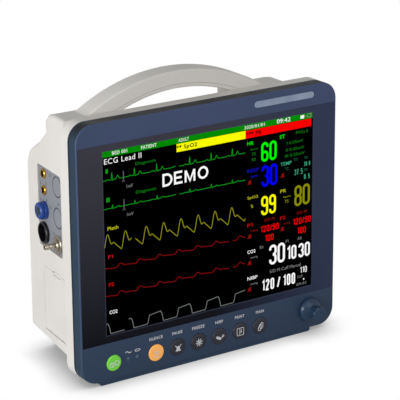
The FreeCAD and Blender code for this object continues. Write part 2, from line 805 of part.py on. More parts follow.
def arc_section(sketch, radius, apex, inner_radius, inner_apex, floor):
    """Outline between two arcs that stand on a level line, centred on the sketch."""
    outer_z = number(apex) - number(radius)
    inner_z = number(inner_apex) - number(inner_radius)
    outer_half = math.sqrt(number(radius) ** 2 - (number(floor) - outer_z) ** 2)
    inner_half = math.sqrt(number(inner_radius) ** 2 - (number(floor) - inner_z) ** 2)
    level = number(floor)
    outer_angle = math.atan2(level - outer_z, outer_half)
    inner_angle = math.atan2(level - inner_z, inner_half)
    normal = FreeCAD.Vector(0, 0, 1)
    outer_circle = Part.Circle(FreeCAD.Vector(0, outer_z, 0), normal, number(radius))
    inner_circle = Part.Circle(FreeCAD.Vector(0, inner_z, 0), normal, number(inner_radius))
    sketch.addGeometry(Part.ArcOfCircle(outer_circle, outer_angle, math.pi - outer_angle), False)
    sketch.addGeometry(Part.ArcOfCircle(inner_circle, inner_angle, math.pi - inner_angle), False)
    for side in (-1, 1):
        sketch.addGeometry(Part.LineSegment(FreeCAD.Vector(side * outer_half, level, 0),
                                            FreeCAD.Vector(side * inner_half, level, 0)), False)
    for arc in (0, 1):
        sketch.addConstraint(Sketcher.Constraint("Coincident", 2, arc + 1, arc, 2))
        sketch.addConstraint(Sketcher.Constraint("Coincident", 3, arc + 1, arc, 1))
        sketch.addConstraint(Sketcher.Constraint("PointOnObject", arc, 3, -2))
    for line in (2, 3):
        sketch.addConstraint(Sketcher.Constraint("Horizontal", line))
    fix(sketch, "DistanceY", (0, 3), size(apex) - radius)
    fix(sketch, "DistanceY", (1, 3), size(inner_apex) - inner_radius)
    fix(sketch, "DistanceY", (2, 1), floor)
    fix_radius(sketch, 0, radius)
    fix_radius(sketch, 1, inner_radius)


def arch_sketch(body, y, outer, inner):
    """Outline of an arch at one depth; each arc is its radius and its top."""
    sketch = sketch_on(body, "XZ_Plane", -y)
    arc_section(sketch, outer[0], outer[1], inner[0], inner[1], d.pillar_top_z)
    return sketch


def handle():
    """Fixed carrying handle in two mouldings: the arch and the grip strip under it."""
    seam = (d.handle_inner_radius + d.grip_thick, d.handle_inner_apex_z + d.grip_thick)
    inner = (d.handle_inner_radius, d.handle_inner_apex_z)
    outer = (d.handle_outer_radius, d.handle_outer_apex_z)
    back_y = d.handle_front_y + d.handle_depth
    groove_y = number(d.handle_front_y) + 2
    upper = new_body(WORLD, (d.handle_x, 0, 0))
    pad(upper, arch_sketch(upper, back_y, outer, seam), d.handle_depth)
    fillet(upper, 2.0, lambda middle, extent: extent[1] < 1e-3 and extent[0] > 190)
    fillet(upper, 0.9, lambda middle, extent: extent[1] < 1e-3 and 135 < extent[0] < 150
           and middle[1] < groove_y)
    node("handle_upper", upper)
    lower = new_body(WORLD, (d.handle_x, 0, 0))
    pad(lower, arch_sketch(lower, back_y, seam, inner), d.handle_depth)
    fillet(lower, 1.5, lambda middle, extent: extent[1] < 1e-3 and 100 < extent[0] < 130)
    node("handle_lower", lower)


# ---------------------------------------------------------------- connector panel

CONNECTORS = {
    "temp_jack_1": (80.8, 194.0, 4.2),
    "temp_jack_2": (80.8, 177.3, 4.2),
    "spo2": (80.5, 157.0, 7.0),
    "ecg": (82.4, 133.4, 9.6),
    "nibp": (50.5, 130.0, 6.0),
    "blank_1": (50.2, 188.4, 10.5),
    "blank_2": (50.1, 157.0, 10.5),
}


def connector_panel():
    """Grey plate: a flange behind the wall and a pad that fills the opening."""
    face = -d.panel_sink
    pad_plate = rounded_plate((d.panel_front_u + 0.15, d.panel_rear_u - 0.15),
                              (d.panel_low_z + 0.15, d.panel_high_z - 0.15), (-4, face), 2.85, LEFT)
    flange = side_frame_box(LEFT, 1, (d.panel_front_u - 3, d.panel_rear_u + 3), (-5.2, -3.2),
                            (d.panel_low_z - 3, d.panel_high_z + 3))
    holes = [rod(LEFT, "y", (u, z), -9, 3, radius + 0.1) for u, z, radius in CONNECTORS.values()]
    return node("connector_panel", cut(fuse([pad_plate, flange]), holes))


def temp_jacks():
    """Gold probe jacks with a blind bore."""
    face = -d.panel_sink + 0.02
    for name in ("temp_jack_1", "temp_jack_2"):
        u, z, radius = CONNECTORS[name]
        node(name, turned([
            (d.jack_radius, face + 1.8), (d.jack_radius + 1.2, face + 1.8), (d.jack_radius + 1.9, face + 1.2),
            (d.jack_radius + 1.9, face), (radius, face), (radius, -15), (0, -15), (0, -13),
            (d.jack_radius, -13)], LEFT, (u, z)))


def spo2_socket():
    """Blue locking ring around a grey socket sleeve."""
    face = -d.panel_sink + 0.02
    u, z, radius = CONNECTORS["spo2"]
    node("spo2_ring", turned([
        (5.3, face + 8), (7.2, face + 8), (8.4, face + 7), (8.8, face + 4.6), (8.4, face + 3.6),
        (9.0, face + 2.6), (9.0, face), (radius, face), (radius, -8), (5.3, -8)], LEFT, (u, z)))
    node("spo2_insert", turned([
        (4.1, face + 7.2), (5.25, face + 7.2), (5.25, -14), (0, -14), (0, -4), (4.1, -4)], LEFT, (u, z)))


def ecg_socket():
    """Black round socket with a keyed well, and its contact pins."""
    face = -d.panel_sink + 0.02
    u, z, radius = CONNECTORS["ecg"]
    shell = turned([
        (9.0, face + 3.4), (10.2, face + 3.4), (11.0, face + 2.6), (11.0, face), (radius, face),
        (radius, -14), (0, -14), (0, -8), (9.0, -8)], LEFT, (u, z))
    key = box(LEFT, (u - 1.2, u + 1.2), (-9, face + 1.5), (z + 6.8, z + 9.2))
    spots = [(u + 5 * math.cos(math.radians(60 * index)), z + 5 * math.sin(math.radians(60 * index)))
             for index in range(6)]
    holes = [rod(LEFT, "y", spot, -15, -7, 0.75) for spot in spots]
    node("ecg_socket", cut(fuse([shell, key]), holes))
    node("ecg_pins", group([rod(LEFT, "y", spot, -16, -2.5, 0.74) for spot in spots]))


def nibp_fitting():
    """Nickel quick-connect fitting with a barbed nipple and an air passage."""
    face = -d.panel_sink + 0.02
    u, z, radius = CONNECTORS["nibp"]
    return node("nibp_fitting", turned([
        (1.4, face + 15), (2.6, face + 15), (3.1, face + 14.2), (3.4, face + 11.6), (2.5, face + 11.2),
        (2.5, face + 9.8), (3.4, face + 8.4), (2.6, face + 8.0), (2.6, face + 4.6), (5.4, face + 4.2),
        (6.2, face + 3.4), (6.2, face + 2.2), (9.0, face + 2.0), (9.7, face + 1.4), (9.7, face),
        (radius, face), (radius, -9), (2.5, -9), (2.5, -20), (1.4, -20)], LEFT, (u, z)))


def blank_plugs():
    """Covers over the two positions that have no connector fitted."""
    face = -d.panel_sink
    return node("blank_plugs", group([
        turned([(0, face + 0.1), (9.2, face + 0.1), (9.6, face - 0.3), (9.6, face - 1.5),
                (10.2, face - 1.5), (10.2, -5.2), (0, -5.2)], LEFT, CONNECTORS[name][:2])
        for name in ("blank_1", "blank_2")]))


# ---------------------------------------------------------------- battery

def battery():
    """Hinged door with two stub pins and a latch lip, and the pack behind it."""
    gap = 0.25
    front, rear = d.door_front_u + gap, d.door_rear_u - gap
    leaf = side_frame_box(LEFT, 1, (front, rear), (-d.door_thick, 0),
                          (door_axis()[1], d.door_high_z - gap))
    notch = rounded_plate((46, 63), (d.door_high_z - 3.2, d.door_high_z + 2), (-1.4, 3), 1.2, LEFT)
    barrel = rod(LEFT, "x", door_axis(), front, rear, d.barrel_radius)
    pin = rod(LEFT, "x", door_axis(), d.door_front_u - 1.5, d.door_rear_u + 1.5, 1.0)
    lip = side_frame_box(LEFT, 1, (50, 59), (-4.6, -1), (89, 91.5))
    node("battery_door", fuse([cut(leaf, [notch]), barrel, pin, lip]))
    pack = box(LEFT, (37, 81), (-100, -6), (36, 88))
    label_step = box(LEFT, (41, 77), (-7, -5), (42, 84))
    pull = box(LEFT, (55, 63), (-6, -5.2), (36, 41))
    node("battery_pack", cut(pack, [label_step, pull]))


# ---------------------------------------------------------------- recorder

def recorder_box(u_range, out_range, z_range):
    return side_frame_box(RIGHT, -1, u_range, out_range, z_range)


def recorder():
    """Strip recorder: bucket, hinged door, paper roll, platen, motor and print head."""
    front, rear = d.recorder_front_u, d.recorder_rear_u
    low, high = d.recorder_low_z, d.recorder_high_z
    bezel_plate = rounded_plate((0.2 - rear, -front - 0.2), (low + 0.2, high - 0.2), (-4, 0.6), 3.8,
                                RIGHT, edge=(1, 0.5))
    bucket = recorder_box((front + 2, rear - 2), (-52, -2), (low + 2, high - 2))
    space = recorder_box((front + 6, rear - 10), (-50, 2), (low + 6, high - 6))
    gear_side = recorder_box((rear - 9, rear - 4), (-50, -3.2), (low + 6, high - 6))
    platen_hole = rod(RIGHT, "x", platen_centre(), 2 - rear, -front - 2.5, 1.57)
    node("recorder_housing", cut(fuse([bezel_plate, bucket]), [space, gear_side, platen_hole,
                                                               hinge_hole(), motor_hole()]))
    door_range = (10.3 - rear, -front - 6.3)
    leaf = box(RIGHT, door_range, (-2.8, 0.4), (hinge_centre()[1], high - 8.5))
    barrel = rod(RIGHT, "x", hinge_centre(), door_range[0], door_range[1], d.barrel_radius)
    pin = rod(RIGHT, "x", hinge_centre(), 8.6 - rear, -front - 4.6, 1.2)
    grip = recorder_box((58, 74), (-0.8, 2), (high - 12, high - 7))
    node("recorder_door", cut(fuse([leaf, barrel, pin]), [grip]))
    roll_centre = (-26, low + 6.1 + d.paper_radius)
    node("paper_roll", tube(RIGHT, "x", roll_centre, 11 - rear, -front - 7, d.paper_radius, 6))
    platen_parts()
    node("print_head", fuse([
        recorder_box((front + 7, rear - 11), (-16.5, -6), (high - 11.9, high - 9)),
        recorder_box((front + 9, rear - 13), (-16, -13), (high - 9.5, high - 6.2))]))


def hinge_centre():
    """Out and up place of the recorder door's hinge line, flush with the door's face."""
    return (0.4 - d.barrel_radius, d.recorder_low_z + 6.2 + d.barrel_radius)


def hinge_hole():
    return rod(RIGHT, "x", hinge_centre(), 8.4 - d.recorder_rear_u, -d.recorder_front_u - 4.4, 1.25)


def platen_centre():
    return (-11.0, d.recorder_high_z - 17)


def motor_centre():
    """The pinion meshes with the platen gear straight behind it."""
    distance = d.gear_module * (d.platen_teeth + d.pinion_teeth) / 2
    return (platen_centre()[0] - distance, platen_centre()[1])


def motor_hole():
    return rod(RIGHT, "x", motor_centre(), 5 - d.recorder_rear_u, 10.5 - d.recorder_rear_u, 1.5)


def gear(centre, teeth, x_range, bore, phase):
    """Straight spur gear: root disc and one tapered tooth repeated round it."""
    body = new_body(RIGHT, (0, centre[0], centre[1]))
    pitch = d.gear_module * teeth / 2
    root = pitch - d.gear_module * 1.2
    tip = pitch + d.gear_module * 0.9
    disc = circle(sketch_on(body, "YZ_Plane", x_range[0]), (0, 0), root)
    circle(disc, (0, 0), bore)
    width = size(x_range[1]) - x_range[0]
    pad(body, disc, width)
    half_root = d.gear_module * 0.95
    half_tip = d.gear_module * 0.32
    tooth_sketch = sketch_on(body, "YZ_Plane", x_range[0])
    bind(tooth_sketch, "AttachmentOffset.Rotation.Angle", phase)
    polygon(tooth_sketch, [(root - 0.2, -half_root), (tip, -half_tip), (tip, half_tip),
                           (root - 0.2, half_root)])
    tooth = pad(body, tooth_sketch, width)
    axle = [item for item in body.Origin.OriginFeatures if item.Role == "X_Axis"][0]
    ring = body.newObject("PartDesign::PolarPattern", "teeth")
    ring.Originals = [tooth]
    ring.Axis = (axle, [""])
    ring.Angle = 360
    ring.Occurrences = int(number(teeth))
    body.Tip = ring
    return body


def platen_parts():
    """Rubber platen on its shaft, its gear, the motor and the motor's pinion."""
    front, rear = d.recorder_front_u, d.recorder_rear_u
    centre = platen_centre()
    shaft_start, shaft_end = 2.5 - rear, -front - 3
    sleeve = rod(RIGHT, "x", centre, 11 - rear, -front - 7, d.platen_radius)
    shaft = rod(RIGHT, "x", centre, shaft_start, shaft_end, 1.5)
    node("platen_roller", fuse([sleeve, shaft]))
    gear_range = (5 - rear, 8 - rear)
    node("platen_gear", gear(centre, d.platen_teeth, gear_range, size(1.5), 0))
    back = motor_centre()
    pinion = gear(back, d.pinion_teeth, gear_range, size(0.8), 180 / number(d.pinion_teeth))
    node("motor_pinion", fuse([pinion, rod(RIGHT, "x", back, 4.5 - rear, 24 - rear, 1.0)]))
    node("recorder_motor", tube(RIGHT, "x", back, 10.3 - rear, 25 - rear, 5.2, 1.07))


# ---------------------------------------------------------------- inside

def chassis_plate():
    """Steel plate that carries the boards."""
    plate = box(WORLD, (-135, 135), (-54, -52.8), (30, 232))
    holes = [box(WORLD, (x, x + 30), (-55, -50), (40, 60)) for x in (-100, -30, 40)]
    posts = [rod(WORLD, "y", (x, z), -53, -46, 3) for x in (-62, 88) for z in (102, 218)]
    return node("chassis_plate", fuse([cut(plate, holes)] + posts))


def mainboard():
    """Main circuit board with its larger parts."""
    board = box(WORLD, (-70, 95), (-46, -44.4), (95, 225))
    parts = [box(WORLD, x_range, (-45, back), z_range) for x_range, back, z_range in (
        ((-20, 12), -38, (150, 182)), ((30, 46), -42, (150, 166)), ((-60, -48), -40, (110, 150)),
        ((40, 80), -41, (200, 208)), ((-20, 10), -41, (98, 104)), ((60, 84), -43, (120, 144)))]
    return node("mainboard", fuse([board] + parts))


def parameter_board():
    """Measurement board behind the connector panel."""
    board = box(LEFT, (34, 98), (-24, -22.4), (112, 206))
    screens = [box(LEFT, (60, 94), (-30, -23), (118, 142)), box(LEFT, (60, 94), (-29, -23), (150, 200)),
               box(LEFT, (38, 56), (-28, -23), (150, 200))]
    hole = rod(LEFT, "y", CONNECTORS["nibp"][:2], -31, -20, 4.5)
    return node("parameter_board", cut(fuse([board] + screens), [hole]))


def power_supply():
    """Mains supply in a folded cover, with a heat sink."""
    base = box(WORLD, (28, 112), (-34, 12), (14, 16))
    cover = box(WORLD, (30, 110), (-32, 10), (15, 50))
    fins = [box(WORLD, (34 + 6 * index, 36 + 6 * index), (-30, 8), (49, 62)) for index in range(12)]
    return node("power_supply", fuse([base, cover] + fins))


def nibp_pump():
    """Air pump for the cuff, with its motor and nozzle."""
    spot = (-62, 130)
    head = rod(LEFT, "x", spot, 74, 88, 14)
    motor = rod(LEFT, "x", spot, 87, 110, 12)
    nozzle = rod(LEFT, "x", spot, 66, 75, 2.5)
    return node("nibp_pump", fuse([head, motor, nozzle]))


def air_tube():
    """Soft tube from the cuff fitting round to the pump's nozzle."""
    u, z, _ = CONNECTORS["nibp"]
    start, turn, bend = -12.0, -50.0, 12.0
    body = new_body(LEFT, (0, 0, z))
    profile = sketch_on(body, "XZ_Plane", -start)
    circle(profile, (u, 0), 4.0)
    circle(profile, (u, 0), 2.6)
    path = sketch_on(body, "XY_Plane", 0)
    corner = FreeCAD.Vector(u + bend, turn, 0)
    path.addGeometry(Part.LineSegment(FreeCAD.Vector(u, start, 0), FreeCAD.Vector(u, turn, 0)), False)
    bend_circle = Part.Circle(corner, FreeCAD.Vector(0, 0, 1), bend)
    path.addGeometry(Part.ArcOfCircle(bend_circle, math.pi, 1.5 * math.pi), False)
    path.addGeometry(Part.LineSegment(FreeCAD.Vector(u + bend, turn - bend, 0),
                                      FreeCAD.Vector(70, turn - bend, 0)), False)
    path.addConstraint(Sketcher.Constraint("Coincident", 0, 2, 1, 1))
    path.addConstraint(Sketcher.Constraint("Coincident", 1, 2, 2, 1))
    for edge, end, x, y in ((0, 1, u, start), (0, 2, u, turn), (2, 1, u + bend, turn - bend),
                            (2, 2, 70, turn - bend)):
        fix(path, "DistanceX", (edge, end), x)
        fix(path, "DistanceY", (edge, end), y)
    fix_radius(path, 1, bend)
    pipe = body.newObject("PartDesign::AdditivePipe", "hose")
    pipe.Profile = profile
    pipe.Spine = path
    return node("air_tube", body)


def speaker():
    """Alarm speaker behind the round grille."""
    return node("speaker", turned([(0, 34), (20, 34), (24, 36.5), (24, 37.6), (25, 37.6), (25, 33),
                                   (12, 24), (12, 14), (0, 14)], at=(62, 165)))


def ribbon_cable():
    """Flat cable from the key board, under the chassis plate, up to the main board."""
    body = new_body()
    sketch = sketch_on(body, "YZ_Plane", -18)
    front, back, top = face_back + 8.6, -47.6, 100.0
    polygon(sketch, [(front, 12), (back + 0.8, 12), (back + 0.8, top), (back, top), (back, 12.8),
                     (front, 12.8)])
    pad(body, sketch, 26)
    return node("ribbon_cable", body)


# ---------------------------------------------------------------- back and underside

SOCKETS = {"ac": (82, 43), "ground": (45, 43), "fuse": (60, 35), "lan": (-20, 40), "usb": (5, 40)}


def rear_panel():
    """Metal plate behind the window, cut for each socket."""
    plate = box(WORLD, (-39, 109), (38.4, 39.9), (20, 64))
    ac_x, ac_z = SOCKETS["ac"]
    holes = [box(WORLD, (ac_x - 13.7, ac_x + 13.7), (36, 42), (ac_z - 10, ac_z + 10))]
    holes += [rod(WORLD, "y", (SOCKETS["fuse"][0], z), 36, 42, 5.1) for z in fuse_levels()]
    holes.append(rod(WORLD, "y", SOCKETS["ground"], 36, 42, 3.05))
    holes += [box(WORLD, x_range, (36, 42), z_range) for x_range, z_range in port_windows()]
    return node("rear_panel", cut(plate, holes))


def fuse_levels():
    return [SOCKETS["fuse"][1] + 16 * index for index in range(2)]


def port_windows():
    lan_x, lan_z = SOCKETS["lan"]
    usb_x, usb_z = SOCKETS["usb"]
    windows = [((lan_x - 8.2, lan_x + 8.2), (lan_z - 7, lan_z + 7))]
    windows += [((x - 3.7, x + 3.7), (usb_z - 7.2, usb_z + 7.2)) for x in (usb_x, usb_x + 13)]
    return windows


def ac_inlet():
    """Mains inlet with its shroud, well and three blades."""
    x, z = SOCKETS["ac"]
    flange = rounded_plate((x - 16, x + 16), (z - 12, z + 12), (39.95, 42.2), 2.5)
    barrel = box(WORLD, (x - 13.5, x + 13.5), (16, 41), (z - 9.8, z + 9.8))
    well = rounded_plate((x - 12, x + 12), (z - 8, z + 8), (24, 44), 2.0)
    blades = [box(WORLD, (x + offset - 1, x + offset + 1), (20, 40), (z - 2 + lift, z + 2 + lift))
              for offset, lift in ((-7, -1.5), (0, 2), (7, -1.5))]
    return node("ac_inlet", fuse([cut(fuse([flange, barrel]), [well])] + blades))


def fuse_caps():
    """Screw-in fuse carriers with a coin slot."""
    x = SOCKETS["fuse"][0]
    caps = []
    for z in fuse_levels():
        cap = turned([(0, 43.2), (5.2, 43.2), (6, 42.4), (6, 39.95), (5, 39.95), (5, 28), (0, 28)],
                     at=(x, z))
        slot = box(WORLD, (x - 4, x + 4), (42.4, 44), (z - 0.6, z + 0.6))
        caps.append(cut(cap, [slot]))
    return node("fuse_caps", group(caps))


def ground_post():
    """Equipotential pin with its collar and nut."""
    return node("ground_post", turned([
        (0, 54), (2.4, 54), (3.0, 53.2), (3.0, 44), (2.2, 43.4), (2.2, 42.6), (5, 42.6), (5, 39.95),
        (3, 39.95), (3, 34), (0, 34)], at=SOCKETS["ground"]))


def network_ports():
    """Network socket and two data sockets as separate solids."""
    ports = []
    for (x_low, x_high), (z_low, z_high) in port_windows():
        case = box(WORLD, (x_low + 0.15, x_high - 0.15), (22, 40.6), (z_low + 0.15, z_high - 0.15))
        well = box(WORLD, (x_low + 1, x_high - 1), (30, 42), (z_low + 1.2, z_high - 1.2))
        tongue = box(WORLD, ((x_low + x_high) / 2 - 1, (x_low + x_high) / 2 + 1), (29, 39),
                     (z_low + 3, z_high - 3))
        ports.append(fuse([cut(case, [well]), tongue]))
    return node("network_ports", group(ports))


def rubber_feet():
    """Four round feet."""
    feet = []
    for x, y in ((-95, -28), (95, -28), (-92, 30), (92, 30)):
        cone = doc.addObject("Part::Cone", "foot")
        bind(cone, "Radius1", 8.2)
        bind(cone, "Radius2", 9.2)
        bind(cone, "Height", d.foot_height)
        place(cone, WORLD.point(x, y, -d.foot_height), FreeCAD.Rotation())
        feet.append(cone)
    return node("rubber_feet", group(feet))


def case_screws():
    """Pan-head screws that hold the rear shell to the bezel."""
    screws = []
    for spot in CASE_SCREWS:
        head = turned([(0, rim_back + 2.2), (1.8, rim_back + 2.1), (3.0, rim_back + 1.2),
                       (3.1, rim_back), (1.5, rim_back), (1.5, bezel_back - 7), (0, bezel_back - 7)],
                      at=spot)
        slots = [box(WORLD, (spot[0] - a, spot[0] + a), (rim_back + 1.2, rim_back + 3),
                     (spot[1] - b, spot[1] + b)) for a, b in ((1.7, 0.4), (0.4, 1.7))]
        screws.append(cut(head, slots))
    return node("case_screws", group(screws))


def base_inserts():
    """Brass inserts in the underside, threaded for a stand or a wall arm."""
    return node("base_inserts", group([tube(WORLD, "z", spot, 0, 8, 2.98, d.bolt_radius)
                                       for spot in bolt_places()]))


# ---------------------------------------------------------------- build and write

def build():
    front_bezel()
    front_glass()
    glass_gasket()
    lcd_panel()
    lcd_bracket()
    alarm_lens()
    alarm_led_board()
    keys()
    indicator_lenses()
    key_board()
    key_switches()
    encoder()
    knob()
    rear_shell()
    shell_gasket()
    handle()
    connector_panel()
    temp_jacks()
    spo2_socket()
    ecg_socket()
    nibp_fitting()
    blank_plugs()
    battery()
    recorder()
    chassis_plate()
    mainboard()
    parameter_board()
    power_supply()
    nibp_pump()
    air_tube()
    speaker()
    ribbon_cable()
    rear_panel()
    ac_inlet()
    fuse_caps()
    ground_post()
    network_ports()
    rubber_feet()
    case_screws()
    base_inserts()


def check():
    """Stop before writing anything if a feature failed or a sub-part has no sound shape."""
    doc.recompute()
    problems = [item.Name for item in doc.Objects
                if {"Invalid", "Error"} & {str(state) for state in item.State}]
    problems += [label for label, item in nodes.items()
                 if item.Shape.isNull() or not item.Shape.isValid() or not item.Shape.Solids]
    if problems:
        raise RuntimeError("failed: " + ", ".join(problems))


def write():
    os.makedirs("parts", exist_ok=True)
    for label, item in nodes.items():
        item.Shape.exportStep("parts/%s.step" % label)


build()
check()
write()
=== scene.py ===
import json
import math

import bmesh
import bpy
from mathutils import Matrix, Vector

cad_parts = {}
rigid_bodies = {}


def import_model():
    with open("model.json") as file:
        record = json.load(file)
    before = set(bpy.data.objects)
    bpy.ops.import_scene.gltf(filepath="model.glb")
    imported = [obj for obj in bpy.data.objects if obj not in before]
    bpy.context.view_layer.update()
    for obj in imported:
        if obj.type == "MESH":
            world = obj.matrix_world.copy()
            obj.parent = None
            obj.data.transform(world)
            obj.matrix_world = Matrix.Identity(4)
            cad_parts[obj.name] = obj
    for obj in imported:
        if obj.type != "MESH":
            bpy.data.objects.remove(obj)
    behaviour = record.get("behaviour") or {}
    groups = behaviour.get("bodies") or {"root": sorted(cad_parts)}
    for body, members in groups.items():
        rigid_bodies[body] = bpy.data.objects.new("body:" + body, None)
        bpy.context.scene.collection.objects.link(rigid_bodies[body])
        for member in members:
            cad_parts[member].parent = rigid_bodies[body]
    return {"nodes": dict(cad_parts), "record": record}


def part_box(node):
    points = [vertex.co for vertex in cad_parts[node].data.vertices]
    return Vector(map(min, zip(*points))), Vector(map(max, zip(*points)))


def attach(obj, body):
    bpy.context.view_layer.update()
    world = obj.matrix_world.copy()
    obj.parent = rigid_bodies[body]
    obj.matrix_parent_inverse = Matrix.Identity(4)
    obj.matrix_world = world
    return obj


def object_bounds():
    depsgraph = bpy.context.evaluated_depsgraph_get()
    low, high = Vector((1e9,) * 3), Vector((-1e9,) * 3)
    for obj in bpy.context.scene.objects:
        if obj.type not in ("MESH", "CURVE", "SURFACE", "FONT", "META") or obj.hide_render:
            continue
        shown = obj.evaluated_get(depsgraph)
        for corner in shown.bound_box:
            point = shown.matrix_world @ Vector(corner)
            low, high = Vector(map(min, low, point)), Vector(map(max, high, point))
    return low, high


# Looks of the patient monitor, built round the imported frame. Sizes written here are in millimetres
# and become metres through MM; the frame's boxes, the floor, the lights and the camera's distance are
# in metres. Noise scales are per metre and angles in degrees.

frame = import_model()
cad_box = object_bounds()
nodes = frame["nodes"]
record = frame["record"]
MM = 0.001
WHITE = (1.0, 1.0, 1.0, 1.0)
EDGE_SAMPLES = 4
FLAT_COSINE, EDGE_COSINE = 0.995, 0.9


# ---------------------------------------------------------------- shader helpers

def srgb(code):
    """Linear RGBA from a six-digit sRGB code."""
    parts = [int(code[index:index + 2], 16) / 255 for index in (0, 2, 4)]
    return tuple(c / 12.92 if c <= 0.04045 else ((c + 0.055) / 1.055) ** 2.4 for c in parts) + (1.0,)


class Shader:
    """A node tree under construction, for a world or, from a name, for a new material."""

    def __init__(self, owner):
        if isinstance(owner, str):
            owner = bpy.data.materials.new(owner)
        owner.use_nodes = True
        self.owner = owner
        self.tree = owner.node_tree
        self.tree.nodes.clear()
        self.places = self.add("ShaderNodeTexCoord").outputs
        self.coords = self.places["Object"]

    def add(self, kind, inputs=None, **settings):
        """A new node; each input is a value or another node's output."""
        made = self.tree.nodes.new(kind)
        for name, value in settings.items():
            setattr(made, name, value)
        for name, value in (inputs or {}).items():
            socket = made.inputs[name]
            if isinstance(value, bpy.types.NodeSocket):
                self.tree.links.new(value, socket)
            else:
                socket.default_value = value
        return made

    def math(self, operation, one, two=0.0):
        return self.add("ShaderNodeMath", {0: one, 1: two}, operation=operation).outputs[0]

    def noise(self, per_metre, detail, stretch=None):
        """Cloudy noise from 0 to 1, mostly between 0.3 and 0.7."""
        place = self.coords
        if stretch is not None:
            place = self.add("ShaderNodeMapping", {"Vector": place, "Scale": stretch}).outputs[0]
        values = {"Vector": place, "Scale": per_metre, "Detail": detail}
        return self.add("ShaderNodeTexNoise", values).outputs["Fac"]

    def mix(self, share, one, two):
        values = {"Fac": share, "Color1": one, "Color2": two}
        return self.add("ShaderNodeMixRGB", values).outputs["Color"]

    def fit(self, value, low, high, to_low=0.0, to_high=1.0):
        values = {"Value": value, "From Min": low, "From Max": high, "To Min": to_low, "To Max": to_high}
        return self.add("ShaderNodeMapRange", values).outputs["Result"]

    def cloud(self, per_metre, detail, to_low=0.0, to_high=1.0):
        """Noise whose usual range fills the given one."""
        return self.fit(self.noise(per_metre, detail), 0.3, 0.7, to_low, to_high)

    def axis(self, letter):
        return self.add("ShaderNodeSeparateXYZ", {"Vector": self.coords}).outputs[letter]

    def edges(self, radius):
        """Normal rounded over an edge, and a mask that is 1 on that edge."""
        soft = self.add("ShaderNodeBevel", {"Radius": radius * MM}, samples=EDGE_SAMPLES).outputs["Normal"]
        flat = self.add("ShaderNodeNewGeometry").outputs["Normal"]
        same = self.add("ShaderNodeVectorMath", {0: soft, 1: flat}, operation="DOT_PRODUCT")
        return soft, self.fit(same.outputs["Value"], FLAT_COSINE, EDGE_COSINE)

    def bump(self, height, depth, normal=None):
        values = {"Height": height, "Strength": 1.0, "Distance": depth * MM}
        if normal is not None:
            values["Normal"] = normal
        return self.add("ShaderNodeBump", values).outputs["Normal"]

    def surface(self, **values):
        """The principled shader, its inputs named with underscores for spaces."""
        named = {name.replace("_", " "): value for name, value in values.items()}
        return self.add("ShaderNodeBsdfPrincipled", named).outputs["BSDF"]

    def done(self, shader, output="ShaderNodeOutputMaterial"):
        self.add(output, {"Surface": shader})
        return self.owner


def moulded(name, low, high, roughness, grain=1100.0, depth=0.012, wear_and_highlight=0.25, edge=0.35, **extra):
    """Moulded plastic or rubber: cloudy colour, fine spark-eroded grain, and lighter edges that are partly
    rubbed and partly a painted highlight.
    """
    paint = Shader(name)
    normal, rim = paint.edges(edge)
    colour = paint.mix(paint.cloud(14.0, 3.0), srgb(low), srgb(high))
    fleck = paint.fit(paint.noise(2600.0, 1.0), 0.62, 0.75, 0.0, 0.12)
    colour = paint.mix(fleck, colour, srgb(high))
    # Lighter edges: partly rubbing, partly a painted highlight on edges and ridges.
    scuff_and_highlight = paint.math("MULTIPLY", rim, paint.fit(paint.noise(180.0, 3.0), 0.35, 0.65, 0.2, 1.0))
    worn_and_lit = tuple(min(1.0, c * 1.5 + 0.02) for c in srgb(high)[:3]) + (1.0,)
    colour = paint.mix(paint.math("MULTIPLY", scuff_and_highlight, wear_and_highlight), colour, worn_and_lit)
    rough = paint.cloud(60.0, 3.0, roughness - 0.05, roughness + 0.06)
    bumpy = paint.bump(paint.noise(grain, 2.0), depth, normal)
    return paint.done(paint.surface(Base_Color=colour, Roughness=rough, Normal=bumpy, **extra))


def metal(name, low, high, roughness, stretch):
    """Plated or machined metal: fine lines along one direction and a little staining."""
    line_depth = 0.006
    paint = Shader(name)
    normal, rim = paint.edges(0.15)
    lines = paint.noise(900.0, 2.0, stretch)
    stain = paint.fit(paint.noise(70.0, 4.0), 0.35, 0.7)
    colour = paint.mix(stain, srgb(low), srgb(high))
    colour = paint.mix(paint.math("MULTIPLY", rim, 0.4), colour, srgb("F4F2EC"))
    rough = paint.fit(lines, 0.3, 0.7, roughness - 0.06, roughness + 0.08)
    bumpy = paint.bump(lines, line_depth, normal)
    return paint.done(paint.surface(Base_Color=colour, Metallic=1.0, Roughness=rough, Normal=bumpy))


# ---------------------------------------------------------------- materials of the slots

SCREEN_WIDTH, SCREEN_HEIGHT = 246.0, 184.5
DOTS_ACROSS = 800
DOT_PITCH = SCREEN_WIDTH / DOTS_ACROSS
WINDOW_LINE = 0.8
lcd_low, lcd_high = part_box("lcd_panel")
screen_middle = (lcd_low + lcd_high) / 2


def from_screen_edge(paint):
    """Distance outside the lit area's outline, in millimetres; negative inside it."""
    gaps = []
    for letter, middle, size in (("X", screen_middle.x, SCREEN_WIDTH), ("Z", screen_middle.z, SCREEN_HEIGHT)):
        offset = paint.math("ABSOLUTE", paint.math("SUBTRACT", paint.axis(letter), middle))
        gaps.append(paint.math("SUBTRACT", paint.math("DIVIDE", offset, MM), size / 2))
    return paint.math("MAXIMUM", gaps[0], gaps[1])


